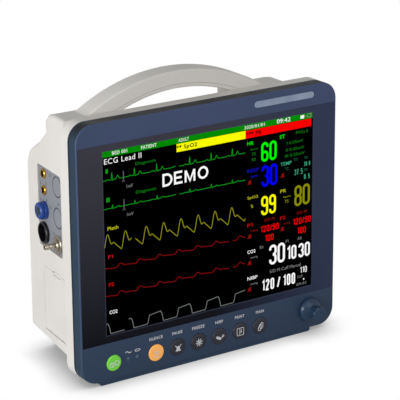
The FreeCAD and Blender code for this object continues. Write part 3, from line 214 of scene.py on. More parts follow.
def screen_glass():
    """Cover glass: printed dark border with a paler line round the clear window; a painted reflection makes
    the border lighter towards the top and bluer towards the right.
    """
    paint = Shader("screen_glass")
    edge = from_screen_edge(paint)
    low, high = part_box("front_glass")
    # Painted reflection: the border pales towards the top and turns bluer towards the right.
    height = paint.fit(paint.axis("Z"), low.z, high.z)
    ink = paint.mix(height, srgb("11131B"), srgb("474652"))
    across = paint.fit(paint.axis("X"), screen_middle.x, high.x)
    ink = paint.mix(across, ink, srgb("3B4563"))
    ink = paint.mix(paint.cloud(9.0, 2.0, 0.0, 0.15), ink, srgb("1A2134"))
    line = paint.math("LESS_THAN", edge, WINDOW_LINE)
    ink = paint.mix(paint.math("MULTIPLY", line, 0.55), ink, srgb("4A5064"))
    wave = paint.bump(paint.noise(22.0, 1.0), 0.02)
    border = paint.surface(Base_Color=ink, Roughness=0.12, Specular_IOR_Level=0.12, Normal=wave)
    clear = paint.add("ShaderNodeBsdfTransparent").outputs["BSDF"]
    outside = paint.math("GREATER_THAN", edge, 0.0)
    both = paint.add("ShaderNodeMixShader", {0: outside, 1: clear, 2: border}).outputs["Shader"]
    return paint.done(both)


def dot_grid(paint):
    """0.81 to 1 across each dot of the display, darker in the gaps between the dots."""
    parts = []
    for letter in ("X", "Z"):
        turns = paint.math("MULTIPLY", paint.axis(letter), 2 * math.pi / (DOT_PITCH * MM))
        parts.append(paint.fit(paint.math("COSINE", turns), -1.0, -0.5, 0.9, 1.0))
    return paint.math("MULTIPLY", parts[0], parts[1])


def display():
    """Unlit display cell: black with the faint grid of its dots."""
    paint = Shader("display")
    colour = paint.mix(dot_grid(paint), srgb("0A0A0C"), srgb("000000"))
    return paint.done(paint.surface(Base_Color=colour, Roughness=0.5, Specular_IOR_Level=0.0))


def lit(code):
    """Lit dots of one colour."""
    paint = Shader("lit_" + code)
    return paint.done(paint.surface(Base_Color=srgb("000000"), Specular_IOR_Level=0.0, Roughness=1.0,
                                    Emission_Color=srgb(code), Emission_Strength=dot_grid(paint)))


def light_lens(name, low, high, ribs):
    """Frosted lens over unlit lamps: fine upright ribs, slightly translucent."""
    paint = Shader(name)
    normal, rim = paint.edges(0.5)
    turns = paint.math("MULTIPLY", paint.axis("X"), 2 * math.pi / (ribs * MM))
    ridge = paint.fit(paint.math("SINE", turns), -1.0, 1.0)
    colour = paint.mix(paint.cloud(40.0, 2.0), srgb(low), srgb(high))
    colour = paint.mix(paint.math("MULTIPLY", ridge, 0.12), colour, srgb("E8EDF6"))
    colour = paint.mix(paint.math("MULTIPLY", rim, 0.35), colour, srgb(low))
    bumpy = paint.bump(ridge, 0.02, normal)
    return paint.done(paint.surface(Base_Color=colour, Roughness=0.34, Normal=bumpy,
                                    Subsurface_Weight=0.15, Subsurface_Scale=0.002))


def circuit_green():
    """Solder-masked board: fibre weave below and lighter copper tracks."""
    paint = Shader("circuit_green")
    weave = paint.noise(900.0, 1.0, (1.0, 1.0, 0.2))
    tracks = paint.add("ShaderNodeTexVoronoi", {"Vector": paint.coords, "Scale": 260.0},
                       feature="DISTANCE_TO_EDGE").outputs["Distance"]
    line = paint.fit(tracks, 0.05, 0.08, 1.0, 0.0)
    colour = paint.mix(weave, srgb("0E4A2C"), srgb("17603A"))
    colour = paint.mix(paint.math("MULTIPLY", line, 0.6), colour, srgb("2F8A55"))
    bumpy = paint.bump(line, 0.02)
    return paint.done(paint.surface(Base_Color=colour, Roughness=0.35, Normal=bumpy))


def paper():
    """Thermal paper wound on a roll: edges of the turns and a faint printed grid."""
    paint = Shader("paper")
    fibre = paint.noise(700.0, 4.0)
    rings = paint.noise(60.0, 2.0, (1.0, 1.0, 40.0))
    colour = paint.mix(fibre, srgb("EFECE4"), srgb("FAF8F2"))
    colour = paint.mix(paint.fit(rings, 0.4, 0.6, 0.0, 0.25), colour, srgb("D9C9C2"))
    return paint.done(paint.surface(Base_Color=colour, Roughness=0.7, Normal=paint.bump(fibre, 0.01)))


def clear_tube():
    """Milky silicone hose."""
    paint = Shader("tube_clear")
    cloud = paint.cloud(120.0, 3.0)
    colour = paint.mix(cloud, srgb("C9D2D4"), srgb("E4EAEA"))
    return paint.done(paint.surface(Base_Color=colour, Roughness=0.25, Transmission_Weight=0.35,
                                    Normal=paint.bump(cloud, 0.02)))


def slot_materials():
    """One node material for every material slot of the record."""
    return {
        "bezel_navy": bezel_navy(),
        "shell_white": moulded("shell_white", "E2DED8", "E8E5E0", 0.46, wear_and_highlight=0.1, edge=0.5),
        "screen_glass": screen_glass(),
        "display": display(),
        "seal_rubber": moulded("seal_rubber", "17181B", "232428", 0.72, grain=600.0, wear_and_highlight=0.15),
        "alarm_lens": light_lens("alarm_lens", "8496B4", "A3B2CB", 1.6),
        "lamp_lens": light_lens("lamp_lens", "3A5678", "4B6A90", 0.8),
        "key_dark": moulded("key_dark", "2E2E38", "383843", 0.42, wear_and_highlight=0.5, edge=0.5),
        # Green and orange keys glow faintly: painted light that brightens them.
        "key_green": moulded("key_green", "74D63E", "86E652", 0.38, wear_and_highlight=0.35, edge=0.5,
                             Emission_Color=srgb("62C238"), Emission_Strength=0.22),
        "key_orange": moulded("key_orange", "FFB254", "FFC06A", 0.38, wear_and_highlight=0.35, edge=0.5,
                              Emission_Color=srgb("F0A050"), Emission_Strength=0.3),
        # The knob's strong edge share paints its ridges lighter: a painted highlight on its flutes.
        "knob_navy": moulded("knob_navy", "1F344E", "2B4462", 0.3, grain=1500.0, wear_and_highlight=0.55, edge=0.3),
        "panel_grey": moulded("panel_grey", "83868D", "8E9198", 0.5, wear_and_highlight=0.3),
        "jack_gold": metal("jack_gold", "C9962E", "E9C35E", 0.2, (1.0, 6.0, 1.0)),
        "socket_blue": moulded("socket_blue", "0F3684", "1A489E", 0.3, wear_and_highlight=0.4, depth=0.006),
        "socket_grey": moulded("socket_grey", "5C6166", "73787E", 0.42),
        "socket_black": moulded("socket_black", "0B0C10", "16171C", 0.35, wear_and_highlight=0.5),
        "nickel": metal("nickel", "B9AF9E", "D8D0C2", 0.22, (1.0, 1.0, 5.0)),
        "steel": metal("steel", "8F9296", "A9ACB0", 0.38, (8.0, 1.0, 1.0)),
        "aluminium": metal("aluminium", "A9ABAE", "C3C5C8", 0.42, (8.0, 1.0, 1.0)),
        "circuit_green": circuit_green(),
        "battery_black": moulded("battery_black", "1E1F22", "2A2B2F", 0.55),
        "tube_clear": clear_tube(),
        "paper": paper(),
        "brass": metal("brass", "A8873F", "C9A75C", 0.35, (1.0, 1.0, 6.0)),
        "inner_black": moulded("inner_black", "15161A", "222328", 0.6),
    }


def bezel_navy():
    """Face moulding: navy with painted light that pales it towards the top; its side walls are less glossy
    and darkened by painted shade, most near the top and along the back edge; a painted highlight lightens its
    edges.
    """
    wall_start, rear_start, fade = 0.8 * MM, 11.2 * MM, 1.0 * MM
    band_low, band_high = 14 * MM, 3 * MM
    paint = Shader("bezel_navy")
    low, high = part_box("front_bezel")
    depth, height = paint.axis("Y"), paint.axis("Z")
    # Painted light: the face pales towards the top.
    rise = paint.fit(height, low.z, high.z)
    normal, rim = paint.edges(0.5)
    colour = paint.mix(rise, srgb("2D435E"), srgb("43527A"))
    cloud = paint.fit(paint.noise(10.0, 3.0), 0.35, 0.7, 0.0, 0.4)
    colour = paint.mix(cloud, colour, srgb("31445C"))
    fleck = paint.fit(paint.noise(2400.0, 1.0), 0.6, 0.75, 0.0, 0.2)
    colour = paint.mix(fleck, colour, srgb("4C5C7C"))
    # Painted shade: the side walls are darker, darkest near the top.
    wall = paint.fit(depth, low.y + wall_start, low.y + wall_start + fade)
    upper = paint.fit(height, high.z - band_low, high.z - band_high)
    colour = paint.mix(wall, colour, paint.mix(upper, srgb("253C51"), srgb("121722")))
    # Painted shade: a darker band along the back edge of the walls.
    rear = paint.fit(depth, low.y + rear_start, low.y + rear_start + fade)
    colour = paint.mix(rear, colour, srgb("1B2834"))
    # Painted highlight: the edges are lighter.
    colour = paint.mix(paint.math("MULTIPLY", rim, 0.2), colour, srgb("62728E"))
    rough = paint.cloud(50.0, 3.0, 0.4, 0.5)
    bumpy = paint.bump(paint.noise(1000.0, 2.0), 0.012, normal)
    gloss = paint.fit(wall, 0.0, 1.0, 0.45, 0.25)
    return paint.done(paint.surface(Base_Color=colour, Roughness=rough, Normal=bumpy,
                                    Specular_IOR_Level=gloss))


def paint_nodes(materials):
    """Give every CAD node the material of its slot."""
    for part in record["subparts"]:
        thing = nodes[part["node"]]
        if not thing.material_slots:
            thing.data.materials.append(None)
        for slot in thing.material_slots:
            slot.material = materials[part["material_slot"]]


# ---------------------------------------------------------------- flat marks

LIFT_STEP = 0.0005      # each mark stands this much higher than the last, so no faces coincide
CIRCLE_POINTS = 24


class Plane:
    """An upright flat place for marks, from its origin in metres and the way across it."""

    def __init__(self, origin, across):
        across, up = Vector(across).normalized(), Vector((0, 0, 1))
        out = across.cross(up)
        turned = Matrix((across, up, out)).transposed().to_4x4()
        self.matrix = Matrix.Translation(Vector(origin)) @ turned @ Matrix.Scale(MM, 4)


def arc(centre, radius_x, radius_y, start, end, steps=12):
    """Points along an ellipse's arc; angles in degrees, anticlockwise from the right."""
    angles = [math.radians(start + (end - start) * index / steps) for index in range(steps + 1)]
    return [(centre[0] + radius_x * math.cos(a), centre[1] + radius_y * math.sin(a)) for a in angles]


def circle(centre, radius):
    step = 360 / CIRCLE_POINTS
    return arc(centre, radius, radius, 0, 360 - step, CIRCLE_POINTS - 1)


class Marks:
    """Thin solid marks on one plane, gathered into a single piece."""

    def __init__(self, plane, depth, lift):
        self.mesh = bmesh.new()
        self.plane = plane
        self.depth = depth
        self.lift = lift        # height of the next mark's underside above the plane

    def prism(self, front, faces, closed_outlines):
        """Close a flat net of faces into a thin solid; outlines give its side walls."""
        back = [self.mesh.verts.new((x, y, self.lift)) for x, y in front]
        top = [self.mesh.verts.new((x, y, self.lift + self.depth)) for x, y in front]
        for face in faces:
            self.mesh.faces.new([top[index] for index in face])
            self.mesh.faces.new([back[index] for index in reversed(face)])
        for outline in closed_outlines:
            for one, two in zip(outline, outline[1:] + outline[:1]):
                self.mesh.faces.new((back[one], back[two], top[two], top[one]))
        self.lift += LIFT_STEP

    def shape(self, points):
        """A filled outline, drawn anticlockwise."""
        order = list(range(len(points)))
        self.prism(points, [order], [order])

    def bar(self, left, bottom, right, top):
        self.shape([(left, bottom), (right, bottom), (right, top), (left, top)])

    def disc(self, centre, radius):
        self.shape(circle(centre, radius))

    def line(self, points, width, closed=False):
        """A stroke of one width through the points, mitred where it bends."""
        sharpest = 0.55
        count = len(points)
        left, right = [], []
        for index, (x, y) in enumerate(points):
            before = points[index - 1] if closed or index else None
            after = points[(index + 1) % count] if closed or index + 1 < count else None
            ways = []
            if before is not None:
                ways.append(Vector((x - before[0], y - before[1])).normalized())
            if after is not None:
                ways.append(Vector((after[0] - x, after[1] - y)).normalized())
            way = sum(ways, Vector((0, 0)))
            way = way.normalized() if way.length > 1e-6 else ways[0]
            reach = width / 2 / max(sharpest, abs(way.dot(ways[0])))
            side = Vector((-way.y, way.x)) * reach
            left.append((x + side.x, y + side.y))
            right.append((x - side.x, y - side.y))
        steps = count if closed else count - 1
        faces = [[index + count, (index + 1) % count + count, (index + 1) % count, index]
                 for index in range(steps)]
        inner, outer = list(range(count)), list(range(count, 2 * count))
        outlines = [outer, inner[::-1]] if closed else [outer + inner[::-1]]
        self.prism(left + right, faces, outlines)

    def ring(self, centre, radius, width):
        self.line(circle(centre, radius), width, True)

    def words(self, text, left, bottom, right, top, bold=0.0, spread=1.0):
        """Lettering from the built-in typeface, fitted to a rectangle."""
        curve = bpy.data.curves.new("words", "FONT")
        curve.body = text
        curve.space_character = spread
        half = 0.5
        curve.extrude = half
        curve.offset = bold
        curve.resolution_u = 3
        holder = bpy.data.objects.new("words", curve)
        bpy.context.scene.collection.objects.link(holder)
        view = bpy.context.evaluated_depsgraph_get()
        mesh = bpy.data.meshes.new_from_object(holder.evaluated_get(view))
        low_x, high_x = (pick(v.co.x for v in mesh.vertices) for pick in (min, max))
        low_y, high_y = (pick(v.co.y for v in mesh.vertices) for pick in (min, max))
        scale = Matrix.Diagonal(((right - left) / (high_x - low_x), (top - bottom) / (high_y - low_y),
                                 self.depth, 1.0))
        lowest = Matrix.Translation((-low_x, -low_y, half))
        mesh.transform(Matrix.Translation((left, bottom, self.lift)) @ scale @ lowest)
        self.mesh.from_mesh(mesh)
        for thing, store in ((holder, bpy.data.objects), (curve, bpy.data.curves), (mesh, bpy.data.meshes)):
            store.remove(thing)
        self.lift += LIFT_STEP

    def number(self, text, left, bottom, right, top, width, gap=1.1):
        """Narrow numerals with round bowls, drawn as strokes of one width."""
        narrow = 0.55
        low, high = bottom + width / 2, top - width / 2
        cells = [narrow if letter in "1/." else 1.0 for letter in text]
        spare = right - left - (width + gap) * (len(text) - 1) - width
        place = left + width / 2
        for letter, share in zip(text, cells):
            reach = spare * share / sum(cells)
            for points, closed in numeral(letter, reach, high - low):
                self.line([(place + x, low + y) for x, y in points], width, closed)
            place += reach + width + gap

    def piece(self, name, material, body, slot):
        """Finish the marks as one object that rides on a body."""
        bmesh.ops.triangulate(self.mesh, faces=[f for f in self.mesh.faces if len(f.verts) > 4])
        self.mesh.transform(self.plane.matrix)
        bmesh.ops.recalc_face_normals(self.mesh, faces=self.mesh.faces)
        data = bpy.data.meshes.new(name)
        self.mesh.to_mesh(data)
        self.mesh.free()
        data.materials.append(material)
        thing = bpy.data.objects.new(name, data)
        bpy.context.scene.collection.objects.link(thing)
        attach(thing, body)


def numeral(letter, wide, tall):
    """Strokes of one numeral in a cell, each as its points and whether it closes."""
    round_x, round_y = wide / 2, min(wide / 2, tall / 4)
    crown = arc((round_x, tall - round_y), round_x, round_y, 180, 0)
    floor = arc((round_x, round_y), round_x, round_y, 0, -180)
    half = tall / 2
    upper_belly = arc((round_x, half - round_y), round_x, round_y, 180, 0)
    lower_belly = arc((round_x, half + round_y), round_x, round_y, 0, -180)
    lower_loop = upper_belly + floor
    hook = arc((round_x, tall - round_y), round_x, round_y, 0, 180)
    six = [(lower_loop, True), ([(wide, tall - 1.3 * round_y)] + hook + [(0, half - round_y)], False)]
    nine = [([(wide - x, tall - y) for x, y in points], closed) for points, closed in six]
    return {
        "0": [(crown + floor, True)],
        "1": [([(0, tall * 0.8), (wide, tall), (wide, 0)], False)],
        "2": [([(0, tall - 1.4 * round_y)] + crown + [(wide, tall - 1.5 * round_y), (0, 0), (wide, 0)],
               False)],
        "3": [([(0, tall - 1.3 * round_y)] + crown + arc((round_x, half + round_y), round_x, round_y, 0, -90),
               False),
              (arc((round_x, half - round_y), round_x, round_y, 90, 0) + floor + [(0, 1.3 * round_y)],
               False)],
        "4": [([(wide * 0.75, 0), (wide * 0.75, tall), (0, tall * 0.3), (wide, tall * 0.3)], False)],
        "5": [([(wide, tall), (0, tall), (0, half)] + arc((round_x, half), round_x, round_y, 90, 0, 6)
               + floor, False)],
        "6": six,
        "7": [([(0, tall), (wide, tall), (wide * 0.3, 0)], False)],
        "8": [(lower_loop, True), (crown + lower_belly, True)],
        "9": nine,
        "/": [([(0, 0), (wide, tall)], False)],
        ".": [([(0, 0), (0, tall * 0.06)], False)],
    }[letter]


# ---------------------------------------------------------------- what the screen shows

# Places on the screen are millimetres to the right of and below the lit area's top left corner.
WAVE_END = 163.6                    # right end of every trace
LABEL_X, SECOND_X = 166.3, 206.7    # left ends of the two columns of labels
ROW_TOP, ROW_PITCH = 18.4, 28.3
LEAD_LINES = (28.9, 57.0)           # baselines of the electrical traces
PRESSURE_LINES = (117.5, 145.6)     # lowest levels of the pressure traces
BEAT, PULSE, WAVE, BREATH = 25.0, 19.95, 22.1, 34.0     # width of one cycle of each trace
PULSE_CORNERS = ((0, 99.4), (5.0, 82.6), (9.3, 92.6), (11.6, 91.3))
WAVE_CORNERS = ((0, 3.6), (4.5, 0.0), (10.0, 2.5), (WAVE, 3.6))
BREATH_CORNERS = ((0, 183.5), (1.2, 180), (2.4, 174.6), (15.4, 172.8), (17.0, 176), (18.6, 183.6),
                  (BREATH, 183.2))
INK_DEPTH, INK_LIFT, TOP_LIFT = 0.03, 0.02, 0.09        # top marks lie over the coloured bars
COLOURS = {
    "status": "008A00", "green": "00FF00", "trace_green": "129A1C", "dim_green": "137818",
    "yellow": "FFFF00", "trace_yellow": "90901A", "soft_yellow": "BDBD1C", "olive": "8C8C00",
    "red": "FF0000", "trace_red": "7C0E0E", "soft_red": "C01212", "dim_red": "8E1212",
    "blue": "0000FF", "dim_blue": "1414B8", "white": "FFFFFF", "grey": "7E8080", "dim_grey": "55555B",
    "trace_grey": "747A76", "teal": "3DA880", "dim_teal": "236650", "black": "000000",
}
screen_corner = Vector((screen_middle.x - SCREEN_WIDTH / 2 * MM, lcd_low.y,
                        screen_middle.z + SCREEN_HEIGHT / 2 * MM))


class Screen:
    """The picture: one set of marks for each colour, placed from the lit area's top left."""

    def __init__(self):
        plane = Plane(screen_corner, (1, 0, 0))
        self.inks = {name: Marks(plane, INK_DEPTH, INK_LIFT) for name in COLOURS}
        for name in ("white", "black"):
            self.inks[name].lift = TOP_LIFT

    def words(self, ink, text, left, top, right, bottom, bold=0.0, spread=1.0):
        self.inks[ink].words(text, left, -bottom, right, -top, bold, spread)

    def number(self, ink, text, left, top, right, bottom, width, gap=1.1):
        self.inks[ink].number(text, left, -bottom, right, -top, width, gap)

    def bar(self, ink, left, top, right, bottom):
        self.inks[ink].bar(left, -bottom, right, -top)

    def trace(self, ink, start, end, depth_at, width, step=0.25):
        """A wave from one place to another; depth_at gives its distance from the top."""
        count = max(2, round((end - start) / step))
        places = [start + (end - start) * index / count for index in range(count + 1)]
        self.inks[ink].line([(u, -depth_at(u)) for u in places], width)

    def pieces(self):
        for name, ink in self.inks.items():
            ink.piece("screen_" + name, lit(COLOURS[name]), "monitor", "display")


def row(index, below=0.0):
    """Depth of a row of values, or of a place below its top."""
    return ROW_TOP + ROW_PITCH * index + below


def hump(distance, height, width):
    """Height of a rounded bump at a distance from its middle."""
    return height * math.exp(-(distance / width) ** 2)


def heart_beat(u, first, baseline, height, share):
    """Electrical trace: small rise, narrow spike with a dip after it, then a rounded wave."""
    phase = (u - first + BEAT / 2) % BEAT - BEAT / 2
    spike = max(0.0, 1 - abs(phase) / 0.6) * height
    dip = hump(phase - 1.1, 0.6, 0.4)
    return baseline - spike + dip - share * (hump(phase + 5.0, 0.9, 1.2) + hump(phase - 6.3, 3.3, 1.25))


def follow(phase, corners, smooth):
    """Level on an outline whose corners are joined by half cosine curves or straight lines."""
    for (start, here), (end, there) in zip(corners, corners[1:]):
        if phase <= end:
            share = (phase - start) / (end - start)
            if smooth:
                share = (1 - math.cos(math.pi * share)) / 2
            return here + (there - here) * share
    return corners[-1][1]


def pulse(u, first):
    """Oxygen trace: steep rise, fall to a notch, a second bump and a long slope."""
    phase = (u - first) % PULSE
    slope = PULSE_CORNERS[-1], (PULSE, PULSE_CORNERS[0][1])
    if phase > slope[0][0]:
        return follow(phase, slope, False)
    return follow(phase, PULSE_CORNERS, True)


def pressure(u, first, baseline):
    """Blood pressure trace: a steep rise and a slow fall."""
    return baseline - WAVE_CORNERS[0][1] + follow((u - first) % WAVE, WAVE_CORNERS, True)


def breath(u, first):
    """Gas trace: a plateau that climbs a little between two steep sides."""
    return follow((u - first) % BREATH, BREATH_CORNERS, False)


def draw_bars(screen):
    """Status bar with the bed, date, time and battery, and the two alarm bars below it."""
    screen.bar("status", 0, 0, SCREEN_WIDTH, 6.2)
    screen.bar("yellow", 83.4, 6.4, 164.0, 14.5)
    screen.bar("red", 164.0, 6.7, 244.6, 14.5)
    for text, left, right in (("BED 001", 11.3, 28.0), ("PATIENT", 43.4, 60.8), ("ADULT", 85.6, 97.4)):
        screen.words("white", text, left, 1.5, right, 4.8, spread=1.1)
    screen.words("white", "2020/01/01", 162.6, 1.7, 187.0, 4.9, spread=1.1)
    screen.words("white", "09:42", 201.9, 1.0, 218.6, 5.4)
    screen.bar("white", 231.0, 1.6, 235.6, 5.0)
    grey = screen.inks["grey"]
    grey.lift = TOP_LIFT
    grey.line([(237.2, -3.0), (239.6, -3.0), (239.6, -4.6), (244.0, -4.6), (244.0, -1.4), (239.6, -1.4)], 0.8)
    grey.lift = INK_LIFT
    screen.words("black", "** SpO2", 83.4, 8.0, 107.0, 13.4, 0.022, 1.08)
    screen.words("black", "*** PR", 165.2, 8.2, 183.4, 12.9, 0.022, 1.08)


def draw_traces(screen):
    """The traces, each broken where the sweep has passed, with their scale bars and names."""
    for start, end, first in ((0.6, 81.8, 10.5), (85.9, WAVE_END, 98.2)):
        for baseline, height, share in zip(LEAD_LINES, (8.4, 3.6), (1.0, 0.35)):
            screen.trace("trace_green", start, end,
                         lambda u: heart_beat(u, first, baseline, height, share), 0.62)
    for start, end, first in ((0.8, 31.0, -0.8), (35.2, WAVE_END, 42.6)):
        screen.trace("trace_yellow", start, end, lambda u: pulse(u, first), 0.72)
    for start, end, first in ((0.6, 143.7, 13.2), (148.7, WAVE_END, 152.6)):
        for baseline in PRESSURE_LINES:
            screen.trace("trace_red", start, end, lambda u: pressure(u, first, baseline), 0.78)
    for start, end, first in ((0.4, 20.8, -13.2), (26.0, WAVE_END, 13.1)):
        screen.trace("trace_grey", start, end, lambda u: breath(u, first), 0.7)
    for baseline in LEAD_LINES:
        screen.bar("dim_grey", 22.7, baseline - 6.4, 23.9, baseline + 3.0)
        screen.inks["dim_grey"].line([(21.7, -baseline - 4.6), (23.3, -baseline - 3.0),
                                      (24.9, -baseline - 4.6)], 0.7)
        screen.words("grey", "1mV", 26.6, baseline + 7.8, 33.6, baseline + 11.2)
    for top in (16.4, 44.6):
        screen.words("dim_green", "Diagnosis", 36.9, top, 59.5, top + 4.0)
    screen.bar("trace_green", 3.8, 17.8, 6.3, 22.0)
    for left in (3.9, 5.2, 6.5):
        screen.bar("trace_green", left, 46.0, left + 1.1, 50.3)
    screen.words("white", "ECG Lead II", 2.4, 7.6, 43.6, 13.0, spread=1.08)
    draw_banner(screen.inks["white"], 66.8, 33.6, 13.0, 2.2)
    for text, ink, line, right in (("Pleth", "soft_yellow", 2, 16.5), ("P1", "soft_red", 3, 9.6),
                                   ("P2", "soft_red", 4, 10.2), ("CO2", "white", 5, 13.3)):
        screen.words(ink, text, 4.5, row(line), right, row(line, 3.7), 0.008)


def draw_banner(ink, left, top, tall, width):
    """The word DEMO in bold upright strokes; x is the left stroke of each letter in turn."""
    pitch_d, pitch_e, pitch_m = 13.2, 12.2, 15.2
    low, high = -top - tall + width / 2, -top - width / 2
    middle, reach = (low + high) / 2, (high - low) / 2

    def bow(start, across, begin, end):
        return arc((start, middle), across, reach, begin, end)

    x = left + width / 2
    ink.line([(x, low), (x, high), (x + 3.2, high)] + bow(x + 3.6, 5.6, 80, -80) + [(x + 3.2, low)],
             width, True)
    x += pitch_d
    ink.line([(x + 8.4, high), (x, high), (x, low), (x + 8.6, low)], width)
    ink.line([(x, middle), (x + 7.6, middle)], width)
    x += pitch_e
    ink.line([(x, low - width / 2), (x, high)], width)
    ink.line([(x + 10.2, low - width / 2), (x + 10.2, high)], width)
    ink.line([(x + 0.3, high), (x + 5.1, low), (x + 9.9, high)], width * 0.9)
    x += pitch_m
    ink.line(bow(x + 5.1, 5.1, 0, 345), width, True)


def bell(screen, left, top):
    """Small crossed bell that marks an alarm limit that is off."""
    ink = screen.inks["dim_red"]
    ink.shape([(left + 0.9, -top - 3.3), (left + 4.3, -top - 3.3), (left + 3.7, -top - 1.0),
               (left + 2.6, -top - 0.2), (left + 1.5, -top - 1.0)])
    ink.line([(left + 0.2, -top - 4.2), (left + 4.6, -top)], 0.7)
    ink.bar(left, -top - 4.3, left + 4.9, -top - 3.6)


def draw_block(screen, text, ink, left, line, width, unit=None, unit_ink="grey", alarm=False):
    """A parameter's name with its unit and alarm bell below it."""
    screen.words(ink, text, left, row(line), left + width, row(line, 3.6), 0.006, 1.06)
    if unit:
        screen.words(unit_ink, unit, left + 3.8, row(line, 7.4), left + 12.6, row(line, 9.9))
    if alarm:
        bell(screen, left + 0.1, row(line, 11.3))


def draw_values(screen):
    """Names and numbers of the parameters, from the top row down."""
    draw_block(screen, "HR", "green", LABEL_X, 0, 7.4, "bpm", "dim_green")
    screen.words("dim_green", "75", 171.7, 30.4, 176.3, 33.4)
    screen.words("dim_green", "50", 171.5, 36.0, 176.3, 39.0)
    screen.number("green", "60", 183.0, 21.8, 201.8, 42.0, 2.6)
    draw_block(screen, "RESP", "dim_blue", LABEL_X, 1, 13.6, "rpm", "dim_blue", True)
    screen.number("blue", "30", 183.4, 45.9, 202.8, 68.2, 2.7)
    draw_block(screen, "SpO2", "soft_yellow", LABEL_X, 2, 13.0)
    screen.words("soft_yellow", "%", 170.4, 84.0, 173.2, 87.4)
    screen.number("yellow", "99", 183.1, 77.8, 201.3, 98.0, 2.5)
    for name, left in (("P1", LABEL_X), ("P2", SECOND_X)):
        draw_block(screen, name, "soft_red", left, 3, 6.3, "mmHg", "dim_red", True)
        shift = left - LABEL_X
        screen.words("dim_red", "S/D M", 187.2 + shift, 102.1, 199.5 + shift, 105.0)
        screen.number("red", "120/90", 182.5 + shift, 109.0, 204.7 + shift, 115.7, 0.8, 1.0)
        screen.number("red", "100", 188.0 + shift, 119.4, 198.6 + shift, 126.2, 0.85, 1.0)
    draw_block(screen, "CO2", "white", LABEL_X, 4, 9.8, "mmHg", "grey", True)
    for text, left, right in (("Et", 181.8, 186.2), ("Fi", 213.8, 217.6), ("RR", 229.3, 234.2)):
        screen.words("grey", text, left, 129.8, right, 132.7)
    screen.number("white", "30", 193.1, 131.3, 212.9, 152.6, 2.7)
    screen.number("white", "10", 215.2, 136.8, 227.3, 151.9, 2.2)
    screen.number("white", "30", 229.9, 136.9, 244.5, 152.2, 2.2)
    draw_block(screen, "NIBP", "white", LABEL_X, 5, 12.3, "mmHg", "grey", True)
    screen.words("grey", "S/D M Cuff Manual", 194.0, 158.0, 233.0, 161.4)
    for text, left, right in (("120", 184.3, 199.5), ("/", 203.0, 207.3), ("100", 210.8, 225.9)):
        screen.number("white", text, left, 166.9, right, 179.1, 1.8, 1.3)
    screen.number("white", "110", 232.3, 162.8, 240.8, 169.4, 0.8, 0.9)
    screen.words("grey", "Cuff", 228.7, 171.6, 235.4, 174.2)
    screen.bar("white", 236.2, 175.8, 237.6, 177.4)
    screen.words("grey", "09:41", 227.8, 179.6, 240.0, 182.6)
    draw_second_column(screen)


def draw_second_column(screen):
    """Lead levels, temperatures and pulse rate, to the right of the main numbers."""
    screen.words("green", "ST", 205.6, 17.9, 212.0, 21.7, 0.008)
    screen.words("dim_green", "PVCs 0", 225.7, 17.2, 240.6, 20.2)
    for text, left, right, top in (("I 0.25mV", 214.6, 234.6, 26.2), ("II 0.25mV", 213.5, 235.7, 33.3),
                                   ("III 0.25mV", 212.4, 236.6, 39.4)):
        screen.words("dim_green", text, left, top, right, top + 2.9)
    draw_block(screen, "TEMP", "teal", SECOND_X, 1, 13.7, alarm=True)
    screen.words("dim_teal", "°C", 212.0, 52.4, 216.8, 55.7)
    for text, left, top in (("T1", 223.1, 45.2), ("T2", 235.9, 45.2), ("TD", 236.0, 58.1)):
        screen.words("dim_teal", text, left, top, left + 4.4, top + 2.7)
    screen.number("teal", "37.5", 224.1, 57.0, 234.3, 62.8, 0.72, 0.8)
    screen.number("teal", "38.0", 236.0, 50.8, 243.7, 55.1, 0.6, 0.6)
    screen.number("teal", "0.5", 236.2, 63.8, 243.4, 69.0, 0.72, 0.9)
    draw_block(screen, "PR", "soft_yellow", SECOND_X, 2, 7.3, "bpm", "olive")
    screen.words("olive", "75", 212.4, 87.0, 216.9, 90.0)
    screen.number("olive", "80", 224.3, 74.2, 243.7, 96.2, 2.5)


def draw_screen():
    screen = Screen()
    draw_bars(screen)
    draw_traces(screen)
    draw_values(screen)
    screen.pieces()


# ---------------------------------------------------------------- keys, labels and panel marks

def linked_rings(ink):
    """Two linked rings on the power key."""
    ink.ring((-2.9, -0.9), 2.4, 0.8)
    ink.ring((2.9, 0.3), 2.4, 0.8)
    ink.line([(-1.6, -2.2), (1.6, 1.4)], 0.8)
    ink.line([(-2.9, -1.6), (-2.9, 1.6)], 0.7)


def crossed_bell(ink, solid):
    """A bell under a cross; solid or as an outline."""
    body = [(-3.3, -3.4), (3.3, -3.4), (2.2, -1.6), (1.6, 1.2), (0, 2.2), (-1.6, 1.2), (-2.2, -1.6)]
    if solid:
        ink.shape(body)
    else:
        ink.line(body, 0.7, True)
    ink.line([(-3.6, 2.9), (0.2, -0.6)], 0.8)
    ink.line([(3.6, 3.1), (-0.2, -0.6)], 0.8)


def snow_star(ink):
    """Rays round a dot."""
    rays, turn, near, far = 8, 10, 1.0, 4.1
    for index in range(rays):
        angle = math.radians(360 / rays * index + turn)
        ink.line([(reach * math.cos(angle), reach * math.sin(angle)) for reach in (near, far)], 0.95)
    ink.disc((0, 0), 0.8)


def arm_cuff(ink):
    """An arm with a cuff, and the ring of its hose."""
    ink.shape([(-5.0, 0.2), (-3.6, -1.4), (-0.4, -3.2), (1.6, -2.8), (1.0, -0.6), (-1.6, 0.8), (-3.8, 1.4)])
    ink.line([(1.2, -2.2), (2.6, -0.4), (3.4, -0.8)], 0.8)
    ink.ring((3.9, 0.5), 1.0, 0.7)


